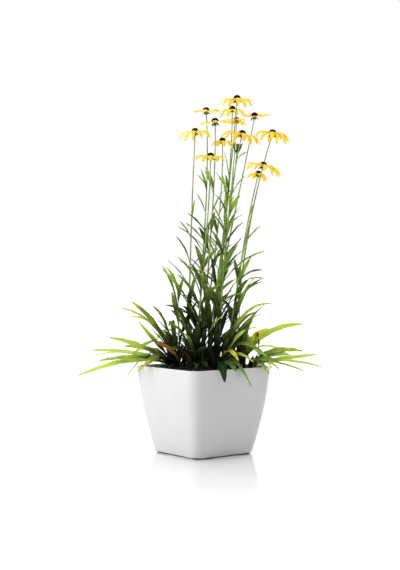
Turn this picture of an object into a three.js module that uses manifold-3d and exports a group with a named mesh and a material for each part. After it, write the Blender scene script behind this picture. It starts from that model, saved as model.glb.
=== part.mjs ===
// A clump of yellow coneflower daisies growing in a square white tub.
// Millimetres, +Z up. The origin is on the floor under the middle of the tub, whose faces are square
// to X and Y. The plant is laid out in its own axes: across, away and up, turned from the tub's front face.
import * as THREE from "three";
import Module from "manifold-3d";

const wasm = await Module();
wasm.setup();

// Tub
const TUB_TOP_SIDE = 200;
const TUB_BASE_SIDE = 148;
const TUB_HEIGHT = 170; // floor to rim
const TUB_CORNER = 22; // radius of the upright corners
const TUB_BULGE = 3.8; // how far the walls swell at half height
const TUB_WALL = 4.5;
const TUB_FLOOR = 6;
const RIM_ROUND = 1.4;
const FOOT_HEIGHT = 2.5;
const FOOT_RADIUS = 11;
const FOOT_INSET = 17; // from the base's sides to a foot's middle
const SEAT_GAP = 0.3; // between pieces that rest on each other

// Soil
const SOIL_BELOW_RIM = 8;
const SOIL_MOUND = 9; // how far the middle stands above the edge
const SOIL_LUMP = 1.6;
const SOIL_RINGS = 3;
const SOIL_CORNER_STEPS = 2;
const ROOT_DEPTH = 24; // how deep a stem stands in the soil
const HOLE_GAP = 0.5; // round a stem in its hole

// Plant
const PLANT_TURN = 52.2; // degrees from the tub's front face to the plant's own front
const STEM_FOOT_RADIUS = 2;
const STEM_NECK_RADIUS = 1;
const STEM_SIDES = 5;
const STEM_STEPS = 5;
const STEM_START = 0.2; // how far across a stem has leant a third of the way up
const CALYX_RADIUS = 4.4;
const CALYX_DEPTH = 4;
const CONE_RADIUS = 7.3;
const CONE_HEIGHT = 7.8;
const CONE_SIDES = 8;
const RAY_ROOT = 3.8; // from the head's axis to where its rays spring
const RAY_THICKNESS = 0.9;
const RAY_WIDEST = 9;
const BLADE_THICKNESS = 1;
const BLADE_FOLD = 0.15; // depth of a leaf's channel as a share of its width
const LEAF_CLEARANCE = 0.7; // between one node's leaf and everything of another node
const GOLDEN_TURN = 137.5;

// Flowering stems, in the plant's axes: foot on the soil, head, how wide the rays spread, how the stem leans
// and the head nods (degrees from upright, and the direction), how far the rays arch up, how far their tips
// drop and how unevenly, how many they are, and up to what share of its height smaller leaves fill the stem.
// Leaves that shape the clump's outline are chosen: height, direction, length, width, and the angles
// from upright at the root and at the tip. Smaller ones fill the rest of each stem.
const FLOWERS = [
  {
    foot: [22, -12],
    head: [66, -15, 690],
    spread: 70,
    lean: [5, 0],
    nod: [4, 270],
    arch: 5,
    drop: 13,
    uneven: 6,
    rays: 12,
    leaves: [
      [530, 200, 60, 6, 4, 16],
      [488, 190, 56, 9, 6, 14],
    ],
  },
  {
    foot: [-12, 22],
    head: [6, 35, 673],
    spread: 60,
    lean: [3, 180],
    nod: [8, 235],
    arch: 3,
    drop: 3,
    uneven: 6,
    rays: 11,
    leaves: [
      [417, 200, 52, 12, 35, 62],
      [522, 185, 32, 5, 25, 45],
      [472, 175, 43, 6, 15, 35],
    ],
  },
  {
    foot: [14, 32],
    head: [58, 50, 678],
    spread: 58,
    lean: [3, 270],
    nod: [8, 270],
    arch: 4,
    drop: 12,
    uneven: 8,
    rays: 10,
    leaves: [[444, 180, 54, 7, 20, 36]],
  },
  {
    foot: [26, 54],
    head: [68, 106, 663],
    spread: 46,
    lean: [6, 60],
    nod: [6, 60],
    arch: 3,
    drop: 8,
    uneven: 10,
    rays: 9,
    leaves: [],
  },
  {
    foot: [10, 22],
    head: [102, 30, 662],
    spread: 66,
    lean: [11, 0],
    nod: [9, 262],
    arch: 0,
    drop: -5,
    uneven: 4,
    rays: 10,
    leafy: 0.42,
    leaves: [],
  },
  {
    foot: [-2, -10],
    head: [23, -36, 643],
    spread: 70,
    lean: [2, 250],
    nod: [8, 228],
    arch: 3,
    drop: 4,
    uneven: 7,
    rays: 12,
    leaves: [[505, 180, 51, 6, 12, 28]],
  },
  {
    foot: [-30, 6],
    head: [-16, 4, 628],
    spread: 66,
    lean: [3, 10],
    nod: [5, 230],
    arch: 6,
    drop: 13,
    uneven: 10,
    rays: 11,
    leafy: 0.42,
    leaves: [
      [421, 180, 40, 7, 20, 48],
      [448, 10, 50, 7, 3, 12],
      [368, 185, 65, 8, 8, 45],
      [293, 190, 88, 10, 30, 50],
      [272, 160, 56, 9, 55, 90],
    ],
  },
  {
    foot: [28, -34],
    head: [74, -54, 617],
    spread: 80,
    lean: [13, 345],
    nod: [14, 350],
    arch: 6,
    drop: 14,
    uneven: 10,
    rays: 13,
    leaves: [
      [572, 10, 24, 6, 40, 70],
      [504, 350, 46, 7, 25, 50],
      [456, 345, 52, 11, 15, 40],
      [333, 350, 106, 9, 30, 76],
      [295, 340, 56, 8, 45, 95],
    ],
  },
  {
    foot: [0, 42],
    head: [38, 24, 612],
    spread: 46,
    lean: [4, 250],
    nod: [8, 270],
    arch: 4,
    drop: 11,
    uneven: 8,
    rays: 9,
    leaves: [],
  },
  {
    foot: [55, 4],
    head: [136, 2, 625],
    spread: 72,
    lean: [18, 0],
    nod: [8, 0],
    arch: 6,
    drop: 14,
    uneven: 8,
    rays: 11,
    leafy: 0.36,
    leaves: [
      [385, 20, 47, 6, 5, 20],
      [400, 30, 45, 7, 35, 60],
      [331, 10, 52, 5, 50, 108],
      [446, 0, 42, 6, 2, 14],
    ],
  },
  {
    foot: [-14, -34],
    head: [14, -65, 573],
    spread: 64,
    lean: [2, 300],
    nod: [4, 290],
    arch: 5,
    drop: 8,
    uneven: 6,
    rays: 12,
    leaves: [
      [303, 195, 96, 13, 5, 55],
      [374, 340, 85, 13, 4, 14],
    ],
  },
  {
    foot: [44, -24],
    head: [115, -45, 557],
    spread: 78,
    lean: [15, 355],
    nod: [12, 350],
    arch: 6,
    drop: 11,
    uneven: 8,
    rays: 13,
    leafy: 0.45,
    leaves: [
      [411, 0, 44, 7, 30, 55],
      [329, 350, 62, 9, 20, 100],
    ],
  },
  {
    foot: [52, 32],
    head: [109, 30, 547],
    spread: 42,
    lean: [15, 20],
    nod: [10, 20],
    arch: 3,
    drop: 10,
    uneven: 8,
    rays: 9,
    leafy: 0.45,
    leaves: [],
  },
];
const BUD = {
  foot: [6, 10],
  head: [66, 5, 590],
  spread: 22,
  lean: [5, 0],
  nod: [5, 0],
  arch: 5,
  drop: -15,
  uneven: 4,
  rays: 8,
  leaves: [],
};

// Leafy shoots without a flower.
const SHOOTS = [
  {
    foot: [-46, 4],
    head: [-50, 2, 326],
    leaves: [
      [276, 175, 98, 9, 5, 34],
      [290, 0, 74, 8, 2, 32],
      [284, 160, 70, 9, 40, 62],
    ],
  },
  { foot: [66, -2], head: [72, 8, 318], leaves: [] },
];

// The smaller leaves up a stem: their first height over the soil, and a step that grows with height.
const LEAF_FIRST = 20;
const LEAF_STEP = 27;
const LEAF_STEP_GROWTH = 0.055;
const STEM_LEAFY_SHARE = 0.74;
const SHOOT_LEAFY_SHARE = 0.98;
const LONG_LEAF = 66; // from here on a stem's leaf has one more bend
const LEAF_LONGEST = 100;
const LEAF_SHORTEST = 42;
const LEAF_WIDEST = 11;
const LEAF_NARROWEST = 5.5;
const LEAF_TURNS = [0, 24, -24, 48, -48, 72, -72, 100, -100, 130, -130, 160, -160];
const CHOSEN_TURNS = [0, 6, -6, 12, -12, 18, -18, 26, -26, 36, -36, 48, -48];
const LEAF_SHRINKS = [1, 0.8, 0.62];

// Tufts of long basal leaves. Each leaf: its tip across, away and up, its height halfway along,
// its width, and how far it rolls about its own rib, in degrees.
const CROWN_RADIUS = 6;
const CROWN_HEIGHT = 9;
const TUFTS = [
  {
    name: "tuft_left_low",
    foot: [-62, -14],
    leaves: [
      [-78, -40, 238, 212, 12, -15],
      [-50, -46, 232, 208, 11, -10],
      [-154, -30, 210, 202, 14, -45],
      [-182, -40, 228, 206, 15, -50],
      [-136, 36, 196, 200, 14, -30],
      [-127, -44, 162, 186, 11, -30],
      [-112, -62, 178, 194, 14, -35],
      [-158, 2, 138, 197, 8, -20],
      [-222, 14, 200, 194, 14, -35],
      [-206, -8, 180, 188, 13, -45],
      [-229, 42, 186, 196, 8, -20],
      [-176, -66, 178, 184, 12, -35],
      [-247, -12, 151, 183, 17, -38],
    ],
  },
  {
    name: "tuft_left_high",
    foot: [-54, 30],
    leaves: [
      [-144, 30, 296, 244, 14, -50],
      [-164, 20, 283, 248, 10, -35],
      [-153, 50, 263, 246, 10, -30],
      [-101, 24, 286, 250, 12, -40],
      [-68, 8, 246, 250, 12, 10],
      [-40, 26, 240, 214, 12, 0],
      [-60, 46, 244, 214, 10, 0],
      [-76, -6, 240, 214, 11, 10],
      [-104, 6, 243, 212, 10, -20],
      [-128, 8, 257, 206, 13, -60],
      [-150, 94, 176, 216, 14, 20],
      [-96, 88, 214, 232, 14, 30],
    ],
  },
  {
    name: "tuft_middle",
    foot: [-12, -62],
    leaves: [
      [-62, -72, 256, 228, 14, -30],
      [-38, -94, 240, 218, 13, -20],
      [-10, -92, 258, 228, 12, 15],
      [20, -90, 250, 222, 12, 30],
      [40, -84, 272, 240, 10, 30],
      [-34, -50, 236, 212, 12, 0],
      [-20, -42, 242, 214, 10, 0],
      [8, -48, 250, 218, 10, 0],
      [-52, -64, 282, 238, 10, -35],
      [-72, -84, 206, 206, 13, -40],
      [-24, -112, 206, 204, 14, -15],
      [4, -106, 214, 206, 14, 15],
      [-14, -118, 176, 184, 13, -10],
      [8, -116, 177, 186, 13, 10],
    ],
  },
  {
    name: "tuft_front",
    foot: [30, -64],
    leaves: [
      [134, -40, 293, 266, 9, 35],
      [103, -26, 277, 243, 9, 35],
      [81, -96, 246, 216, 19, 45],
      [50, -60, 232, 208, 12, 20],
      [22, -42, 244, 214, 10, 0],
      [127, -84, 187, 218, 13, 30],
      [96, -102, 184, 200, 10, 20],
      [66, -112, 188, 206, 11, 20],
      [62, -118, 168, 187, 15, 20],
      [92, -80, 136, 189, 13, 20],
      [40, -124, 148, 185, 18, 5],
    ],
  },
  {
    name: "tuft_right_low",
    foot: [84, -22],
    leaves: [
      [194, -30, 201, 200, 15, 45],
      [160, -14, 198, 190, 15, 40],
      [172, 30, 190, 188, 13, 30],
      [224, 4, 192, 183, 15, 35],
      [150, -66, 178, 188, 14, 30],
      [126, -50, 157, 186, 13, 20],
      [237, 22, 166, 182, 12, 30],
      [196, -74, 164, 182, 8, 25],
    ],
  },
  {
    name: "tuft_right_high",
    foot: [74, 34],
    leaves: [
      [199, 30, 250, 231, 16, 50],
      [131, 56, 240, 215, 20, 50],
      [106, 40, 276, 240, 11, 30],
      [62, 22, 238, 214, 12, 0],
      [80, 50, 244, 216, 10, 0],
      [86, 12, 246, 222, 12, 20],
      [92, 40, 230, 210, 12, 0],
      [176, 86, 184, 206, 13, -20],
      [118, 106, 204, 220, 13, 20],
    ],
  },
  {
    name: "tuft_back_left",
    foot: [-22, 76],
    leaves: [
      [-50, 60, 236, 212, 13, 0],
      [-16, 66, 242, 214, 13, 0],
      [6, 84, 238, 214, 13, 0],
      [-40, 134, 256, 236, 13, -20],
      [-86, 112, 232, 226, 13, 30],
      [-6, 158, 206, 220, 13, -10],
      [-60, 164, 188, 214, 14, -20],
      [-92, 140, 152, 202, 14, 20],
      [-34, 196, 142, 204, 14, 10],
    ],
  },
  {
    name: "tuft_back_right",
    foot: [52, 76],
    leaves: [
      [58, 60, 244, 216, 13, 0],
      [78, 64, 234, 212, 13, 0],
      [76, 138, 258, 238, 13, 20],
      [112, 116, 238, 226, 13, -30],
      [34, 168, 216, 222, 13, 10],
      [104, 172, 186, 214, 14, 20],
      [144, 146, 152, 204, 14, -20],
      [64, 194, 146, 204, 14, -10],
    ],
  },
];
const TUFT_TURNS = [0, 3, -3, 6, -6, 10, -10, 15, -15, 21, -21];
const TUFT_LIFTS = [0, 6, -5, 12, 20];
const TUFT_SHORT = 105; // a basal leaf under this length has one bend fewer
const TUFT_STILL = 15; // the most that such a leaf rolls, in degrees
const TUFT_REACH = 0.3; // how far across a basal leaf's arch is pulled from

// Dead leaves, each on a stub of its own: foot, and the leaf as in a tuft.
const DEAD_LEAVES = [
  { name: "withered_leaf", foot: [-40, -44], leaf: [-92, -50, 218, 203, 9, 80], colour: "withered" },
  { name: "dry_stalk", foot: [111, 2], leaf: [101, 0, 212, 230, 8, 60], colour: "withered" },
  { name: "yellow_leaf", foot: [98, -26], leaf: [148, -26, 164, 183, 12, 30], colour: "yellowed" },
];

const COLOURS = {
  glaze: { color: 0xe9e9eb, roughness: 0.18, metalness: 0 },
  rubber: { color: 0x1c1c1e, roughness: 0.7, metalness: 0 },
  soil: { color: 0x1d1511, roughness: 0.95, metalness: 0 },
  leaf: { color: 0x5f8c38, roughness: 0.55, metalness: 0 },
  basal: { color: 0x86ad3c, roughness: 0.55, metalness: 0 },
  ray: { color: 0xf6c50f, roughness: 0.6, metalness: 0 },
  cone: { color: 0x1b0f12, roughness: 0.85, metalness: 0 },
  withered: { color: 0x9c4a18, roughness: 0.8, metalness: 0 },
  yellowed: { color: 0xd9c233, roughness: 0.65, metalness: 0 },
};

const DEGREE = Math.PI / 180;
const UP = new THREE.Vector3(0, 0, 1);
const vector = (x, y, z) => new THREE.Vector3(x, y, z);

// A seeded run of numbers from 0 to 1, the same on every machine.
function dice(seed) {
  let state = (seed * 2654435761) >>> 0;
  const roll = () => {
    state = (Math.imul(state, 1664525) + 1013904223) >>> 0;
    return state / 4294967296;
  };
  roll();
  roll();
  return roll;
}

// A closed solid through stations of points: each is a loop of the same count, or one point at an end.
function loft(stations) {
  const points = stations.flat();
  const starts = [];
  let start = 0;
  for (const station of stations) {
    starts.push(start);
    start += station.length;
  }
  const faces = [];
  const cap = (first, count, turned) => {
    for (let i = 1; i < count - 1; i++) {
      faces.push(turned ? [first, first + i + 1, first + i] : [first, first + i, first + i + 1]);
    }
  };
  cap(starts[0], stations[0].length, true);
  for (let k = 0; k + 1 < stations.length; k++) {
    const [a, b] = [starts[k], starts[k + 1]];
    const [na, nb] = [stations[k].length, stations[k + 1].length];
    for (let i = 0; i < Math.max(na, nb); i++) {
      const j = (i + 1) % Math.max(na, nb);
      if (na > 1 && nb > 1) faces.push(...splitFace(points, [a + i, a + j, b + j, b + i]));
      else faces.push(na > 1 ? [a + i, a + j, b] : [a, b + j, b + i]);
    }
  }
  cap(starts.at(-1), stations.at(-1).length, false);
  return solidFrom(points, faces);
}

// Splits a face of four corners along the diagonal that bulges outwards, so that thin walls stay apart.
function splitFace(points, [a, b, c, d]) {
  const normal = points[c].clone().sub(points[a]).cross(points[d].clone().sub(points[b]));
  const bulge = points[b].clone().add(points[d]).sub(points[a]).sub(points[c]).dot(normal);
  return bulge > 0 ? [[a, b, d], [b, c, d]] : [[a, b, c], [a, c, d]];
}

function solidFrom(points, faces) {
  return new wasm.Manifold(
    new wasm.Mesh({
      numProp: 3,
      vertProperties: new Float32Array(points.flatMap((p) => [p.x, p.y, p.z])),
      triVerts: new Uint32Array(faces.flat()),
    }),
  );
}

// The biggest body of a fused solid: sealed hollows are filled and loose scraps dropped.
function oneBody(solid) {
  return solid.decompose().sort((a, b) => b.volume() - a.volume())[0];
}

function meshOf(name, solid, colour) {
  const { vertProperties, triVerts } = solid.getMesh();
  const geometry = new THREE.BufferGeometry();
  geometry.setAttribute("position", new THREE.BufferAttribute(new Float32Array(vertProperties), 3));
  geometry.setIndex(new THREE.BufferAttribute(new Uint32Array(triVerts), 1));
  geometry.computeVertexNormals();
  const mesh = new THREE.Mesh(geometry, new THREE.MeshStandardMaterial(COLOURS[colour]));
  mesh.name = name;
  return mesh;
}

// Tub and soil

function roundedSquare(half, corner, z, steps = 4) {
  const loop = [];
  for (let quarter = 0; quarter < 4; quarter++) {
    const middle = (quarter * 90 + 45) * DEGREE;
    const cx = Math.sign(Math.cos(middle)) * (half - corner);
    const cy = Math.sign(Math.sin(middle)) * (half - corner);
    for (let i = 0; i <= steps; i++) {
      const angle = (quarter * 90 + (i * 90) / steps) * DEGREE;
      loop.push(vector(cx + corner * Math.cos(angle), cy + corner * Math.sin(angle), z));
    }
  }
  return loop;
}

// Half the tub's outer side at a height: it widens upwards, with a slight swell.
function tubHalf(z) {
  const t = (z - FOOT_HEIGHT) / (TUB_HEIGHT - FOOT_HEIGHT);
  const base = TUB_BASE_SIDE / 2;
  return base + (TUB_TOP_SIDE / 2 - base) * t + TUB_BULGE * 4 * t * (1 - t);
}

const WALL_STATIONS = [0.2, 0.4, 0.6, 0.8].map((t) => FOOT_HEIGHT + t * (TUB_HEIGHT - FOOT_HEIGHT));

// One loop of the tub's section: its outer side at a height, moved in by an inset.
function tubLoop(z, inset) {
  return roundedSquare(tubHalf(z) - inset, TUB_CORNER - inset, z);
}

function buildTub() {
  const shoulder = TUB_HEIGHT - RIM_ROUND;
  return loft([
    tubLoop(FOOT_HEIGHT, RIM_ROUND),
    tubLoop(FOOT_HEIGHT + RIM_ROUND, 0),
    ...WALL_STATIONS.map((z) => tubLoop(z, 0)),
    tubLoop(shoulder, 0),
    tubLoop(TUB_HEIGHT, RIM_ROUND),
    tubLoop(TUB_HEIGHT, TUB_WALL - RIM_ROUND),
    tubLoop(shoulder, TUB_WALL),
    ...WALL_STATIONS.toReversed().map((z) => tubLoop(z, TUB_WALL)),
    tubLoop(FOOT_HEIGHT + TUB_FLOOR, TUB_WALL),
  ]);
}

function buildFoot() {
  const foot = new THREE.CylinderGeometry(FOOT_RADIUS, FOOT_RADIUS - 0.8, FOOT_HEIGHT - SEAT_GAP, 14);
  return foot.rotateX(Math.PI / 2).translate(0, 0, (FOOT_HEIGHT - SEAT_GAP) / 2);
}

// The soil's height at a share of the way from its edge to its middle, lumpy along its loops.
function soilHeight(share, x, y) {
  const lump = Math.sin(x * 0.13 + 1.7) * Math.cos(y * 0.11 - 0.6) + 0.6 * Math.sin(x * 0.07 - y * 0.17);
  const mound = SOIL_MOUND * Math.sin((share * Math.PI) / 2);
  return TUB_HEIGHT - SOIL_BELOW_RIM + mound + SOIL_LUMP * lump * share;
}

function soilTopAt(x, y) {
  const reach = Math.max(Math.abs(x), Math.abs(y)) / (TUB_TOP_SIDE / 2 - TUB_WALL - SEAT_GAP);
  return soilHeight(Math.max(0, 1 - reach), x, y);
}

function buildSoil() {
  const edge = (z) => [tubHalf(z) - TUB_WALL - SEAT_GAP, TUB_CORNER - TUB_WALL - SEAT_GAP];
  const rim = TUB_HEIGHT - SOIL_BELOW_RIM;
  const base = FOOT_HEIGHT + TUB_FLOOR + SEAT_GAP;
  const heights = [base, ...WALL_STATIONS.filter((z) => z > base && z < rim), rim];
  const stations = heights.map((z) => roundedSquare(...edge(z), z, SOIL_CORNER_STEPS));
  for (let i = 1; i < SOIL_RINGS; i++) {
    const share = i / SOIL_RINGS;
    const [half, corner] = edge(rim);
    const loop = roundedSquare(half * (1 - share), corner * (1 - share), 0, SOIL_CORNER_STEPS);
    stations.push(loop.map((p) => vector(p.x, p.y, soilHeight(share, p.x, p.y))));
  }
  stations.push([vector(0, 0, soilHeight(1, 0, 0))]);
  return loft(stations);
}

// Plant

function fromPlant(across, away) {
  const [c, s] = [Math.cos(PLANT_TURN * DEGREE), Math.sin(PLANT_TURN * DEGREE)];
  return [across * c - away * s, across * s + away * c];
}

// Where a foot of the plant meets the soil, in the plant's axes.
function groundAt([across, away]) {
  return vector(across, away, soilTopAt(...fromPlant(across, away)));
}

// The way up of something that leans by some degrees towards a direction.
function leaning([tilt, direction]) {
  const [t, d] = [tilt * DEGREE, direction * DEGREE];
  return vector(Math.sin(t) * Math.cos(d), Math.sin(t) * Math.sin(d), Math.cos(t));
}

// A stem rises from its foot and leans over to its head. Its height grows evenly along the curve.
function stemCurve({ foot, head, lean = [0, 0] }) {
  const ground = groundAt(foot);
  const top = vector(...head);
  const third = (top.z - ground.z) / 3;
  const low = ground.clone().lerp(top, STEM_START).setZ(ground.z + third);
  const axis = leaning(lean);
  const high = top.clone().addScaledVector(axis, -third / axis.z);
  return new THREE.CubicBezierCurve3(ground, low, high, top);
}

function ringRound(centre, along, radius, sides, turn = 0) {
  const right = vector(1, 0, 0).addScaledVector(along, -along.x).normalize();
  const back = along.clone().cross(right);
  return Array.from({ length: sides }, (_, i) => {
    const angle = ((i + turn) * 2 * Math.PI) / sides;
    return centre
      .clone()
      .addScaledVector(right, radius * Math.cos(angle))
      .addScaledVector(back, radius * Math.sin(angle));
  });
}

// The stem's round body, standing in the soil, with the calyx under a flower.
function stemBody(curve, nod) {
  const ground = curve.getPoint(0);
  const stations = [ringRound(ground.clone().setZ(ground.z - ROOT_DEPTH), UP, STEM_FOOT_RADIUS, STEM_SIDES)];
  for (let i = 0; i < STEM_STEPS; i++) {
    const t = i / STEM_STEPS;
    const radius = STEM_FOOT_RADIUS + (STEM_NECK_RADIUS - STEM_FOOT_RADIUS) * t;
    stations.push(ringRound(curve.getPoint(t), curve.getTangent(t), radius, STEM_SIDES));
  }
  const top = curve.getPoint(1);
  if (!nod) return loft([...stations, [top]]);
  const axis = leaning(nod);
  const ring = (down, radius) =>
    ringRound(top.clone().addScaledVector(axis, -down), axis, radius, STEM_SIDES);
  return loft([
    ...stations,
    ring(CALYX_DEPTH, STEM_NECK_RADIUS),
    ring(CALYX_DEPTH * 0.3, CALYX_RADIUS),
    ring(0, CALYX_RADIUS * 0.9),
  ]);
}

// Width along a leaf, as a share of its widest, from its root at 0 to its tip at 1, which is blunter the
// smaller its fineness.
function leafWidth(t, root, widest, fineness) {
  if (t < widest) return root + (1 - root) * Math.sin((Math.PI / 2) * (t / widest)) ** 1.6;
  return Math.cos((Math.PI / 2) * ((t - widest) / (1 - widest))) ** fineness;
}

// A leaf blade along a path: two thin edges with a thick rib sunk below them. A broad leaf has a channel
// on top and a blunt root, and a narrow one is flat on top and springs from a point.
function blade({ point, along, side, width, share, roll, stops, broad }) {
  const stations = stops.map((t) => {
    const centre = point(t);
    if (t === 1 || (t === 0 && !broad)) return [centre];
    const half = (width * share(t)) / 2;
    const tangent = along(t);
    const normal = tangent.clone().cross(side).normalize();
    const [c, s] = [Math.cos(roll(t)), Math.sin(roll(t))];
    const across = side.clone().multiplyScalar(c).addScaledVector(normal, s);
    const upright = tangent.clone().cross(across).normalize();
    const at = (out, up) => centre.clone().addScaledVector(across, out).addScaledVector(upright, up);
    const sunk = -2 * BLADE_FOLD * half;
    const section = [at(-half, 0), at(0, sunk - BLADE_THICKNESS / 2), at(half, 0)];
    return broad ? [...section, at(0, sunk + BLADE_THICKNESS / 2)] : section;
  });
  return loft(stations);
}

// A stem's leaf: an arc in an upright plane, between its angles off the vertical at the root and the tip.
function arcLeaf({ root, azimuth, length, steep, spread, width, twist }) {
  const out = vector(Math.cos(azimuth), Math.sin(azimuth), 0);
  const bend = spread - steep;
  const angle = (t) => steep + bend * t;
  const along = (t) => out.clone().multiplyScalar(Math.sin(angle(t))).setZ(Math.cos(angle(t)));
  const point = (t) =>
    root
      .clone()
      .addScaledVector(out, (length * (Math.cos(steep) - Math.cos(angle(t)))) / bend)
      .addScaledVector(UP, (length * (Math.sin(angle(t)) - Math.sin(steep))) / bend);
  return blade({
    point,
    along,
    side: vector(-Math.sin(azimuth), Math.cos(azimuth), 0),
    width,
    share: (t) => leafWidth(t, 0.2, 0.45, 0.75),
    roll: (t) => twist * t,
    stops: length > LONG_LEAF ? [0, 0.26, 0.53, 0.8, 1] : [0, 0.34, 0.72, 1],
    broad: false,
  });
}

// A basal leaf: a quadratic arch from its crown to its tip, at a given height halfway.
function archLeaf({ root, tip, middle, width, roll }) {
  const control = root.clone().lerp(tip, TUFT_REACH).setZ(2 * middle - (root.z + tip.z) / 2);
  const curve = new THREE.QuadraticBezierCurve3(root, control, tip);
  const length = root.distanceTo(control) + control.distanceTo(tip);
  const plain = length < TUFT_SHORT && Math.abs(roll) < TUFT_STILL * DEGREE;
  return blade({
    point: (t) => curve.getPoint(t),
    along: (t) => curve.getTangent(t),
    side: vector(root.y - tip.y, tip.x - root.x, 0).normalize(),
    width,
    share: (t) => leafWidth(t, 0.25, 0.56, 0.65),
    roll: (t) => roll * (0.3 + 0.7 * t),
    stops: plain ? [0, 0.38, 0.8, 1] : [0, 0.28, 0.55, 0.8, 1],
    broad: true,
  });
}

// Where a ray's rib runs and how it slopes, at a share of its length: [out, up, slope]. It springs flat from
// the head, arches up two thirds of the way out, and bends down to its tip.
function rayPath(t, reach, arch, drop) {
  const bow = 0.55 * (reach - RAY_ROOT);
  const out = RAY_ROOT + 2 * t * (1 - t) * bow + t * t * (reach - RAY_ROOT);
  const up = 6.75 * t * t * (1 - t) * arch - t * t * drop;
  const outward = 2 * (1 - 2 * t) * bow + 2 * t * (reach - RAY_ROOT);
  const upward = 6.75 * (2 * t - 3 * t * t) * arch - 2 * t * drop;
  return [out, up, Math.atan2(upward, outward)];
}

// A head's ring of rays round its axis, as one body: three-cornered sections, flat below and ribbed above,
// joined by a hub. No ray is wider than its own share of the ring.
function rayRing({ spread, arch, drop, uneven, rays }, roll) {
  const lift = SEAT_GAP + RAY_THICKNESS;
  const points = [vector(0, 0, SEAT_GAP), vector(0, 0, lift + RAY_THICKNESS / 2)];
  const faces = [];
  const roots = [];
  const slot = (2 * Math.PI) / rays;
  for (let i = 0; i < rays; i++) {
    const angle = (i + 0.16 * (roll() - 0.5)) * slot;
    const reach = (spread / 2) * (0.9 + 0.16 * roll());
    const fall = drop + uneven * (roll() - 0.5);
    const twist = 0.5 * (roll() - 0.5);
    const width = RAY_WIDEST * (0.85 + 0.3 * roll());
    const first = points.length;
    for (const [t, share] of [
      [0, 0.3],
      [0.5, 1],
      [0.86, 0.74],
    ]) {
      const [out, up, slope] = rayPath(t, reach, arch, fall);
      const half = Math.min((width * share) / 2, 0.4 * slot * out);
      const lean = twist * t;
      const place = (sideways, upright) => {
        const o = out - Math.sin(slope) * upright;
        const x = o * Math.cos(angle) - sideways * Math.sin(angle);
        const y = o * Math.sin(angle) + sideways * Math.cos(angle);
        return vector(x, y, lift + up + Math.cos(slope) * upright);
      };
      points.push(place(-half * Math.cos(lean), -half * Math.sin(lean) - RAY_THICKNESS / 2));
      points.push(place(half * Math.cos(lean), half * Math.sin(lean) - RAY_THICKNESS / 2));
      points.push(place(0, RAY_THICKNESS / 2));
    }
    const [out, up] = rayPath(1, reach, arch, fall);
    points.push(vector(out * Math.cos(angle), out * Math.sin(angle), lift + up));
    for (const k of [0, 3]) {
      for (const j of [0, 1, 2]) {
        const [a, b] = [first + k + j, first + k + ((j + 1) % 3)];
        faces.push([a, b, b + 3], [a, b + 3, a + 3]);
      }
    }
    for (const j of [0, 1, 2]) faces.push([first + 6 + j, first + 6 + ((j + 1) % 3), first + 9]);
    roots.push(first);
  }
  roots.forEach((root, i) => {
    const next = roots[(i + 1) % rays];
    faces.push([1, root, root + 2], [1, root + 2, root + 1], [1, root + 1, next]);
    faces.push([0, root + 1, root], [0, next, root + 1]);
  });
  return solidFrom(points, faces);
}

// The dark cone of disc florets: a dome whose facets stand out in a chequer.
function coneDome(size) {
  const base = 3 * SEAT_GAP + 1.5 * RAY_THICKNESS;
  const levels = [
    [0.9, 0],
    [1.02, 0.24],
    [0.88, 0.58],
    [0.55, 0.87],
  ];
  const stations = levels.map(([share, height], level) =>
    ringRound(
      vector(0, 0, base + height * CONE_HEIGHT * size),
      UP,
      CONE_RADIUS * size * share,
      CONE_SIDES,
      level / 2,
    ).map((p, i) => p.setZ(p.z + (level && (i + level) % 2 ? 0.5 * size : 0))),
  );
  stations.push([vector(0, 0, base + CONE_HEIGHT * size)]);
  return loft(stations);
}

// Placing: a leaf keeps clear of all that other nodes hold, and of its own stem's other leaves.
const placed = [];

function remember(node, solid, kind = "body") {
  const { min, max } = solid.boundingBox();
  placed.push({ node, kind, solid, min, max });
}

function isClear(node, solid, alone) {
  const { min, max } = solid.boundingBox();
  return placed.every((other) => {
    if (other.node === node && !(alone && other.kind === "leaf")) return true;
    const apart = (i) => other.min[i] > max[i] + LEAF_CLEARANCE || other.max[i] < min[i] - LEAF_CLEARANCE;
    return [0, 1, 2].some(apart) || other.solid.minGap(solid, LEAF_CLEARANCE * 1.1) >= LEAF_CLEARANCE;
  });
}

function firstClear(node, candidates, alone) {
  for (const make of candidates) {
    const solid = make();
    if (isClear(node, solid, alone)) {
      remember(node, solid, "leaf");
      return solid;
    }
  }
  return null;
}

// One leaf on a stem, at the first turn and size that leave it clear.
function placeStemLeaf({ name, curve }, turns, leaf) {
  const ground = curve.getPoint(0);
  const root = curve.getPoint((leaf.height - ground.z) / (curve.getPoint(1).z - ground.z));
  const candidates = LEAF_SHRINKS.flatMap((shrink) =>
    turns.map((extra) => () => {
      const azimuth = (leaf.direction + extra) * DEGREE;
      return arcLeaf({ ...leaf, root, azimuth, length: leaf.length * shrink });
    }),
  );
  return firstClear(name, candidates, true);
}

function chosenLeaves(stem) {
  return stem.leaves.map(([height, direction, length, width, steep, spread], index) =>
    placeStemLeaf(stem, CHOSEN_TURNS, {
      height,
      direction,
      length,
      width,
      steep: steep * DEGREE,
      spread: spread * DEGREE,
      twist: index % 2 ? 0.7 : -0.7,
    }),
  );
}

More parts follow.
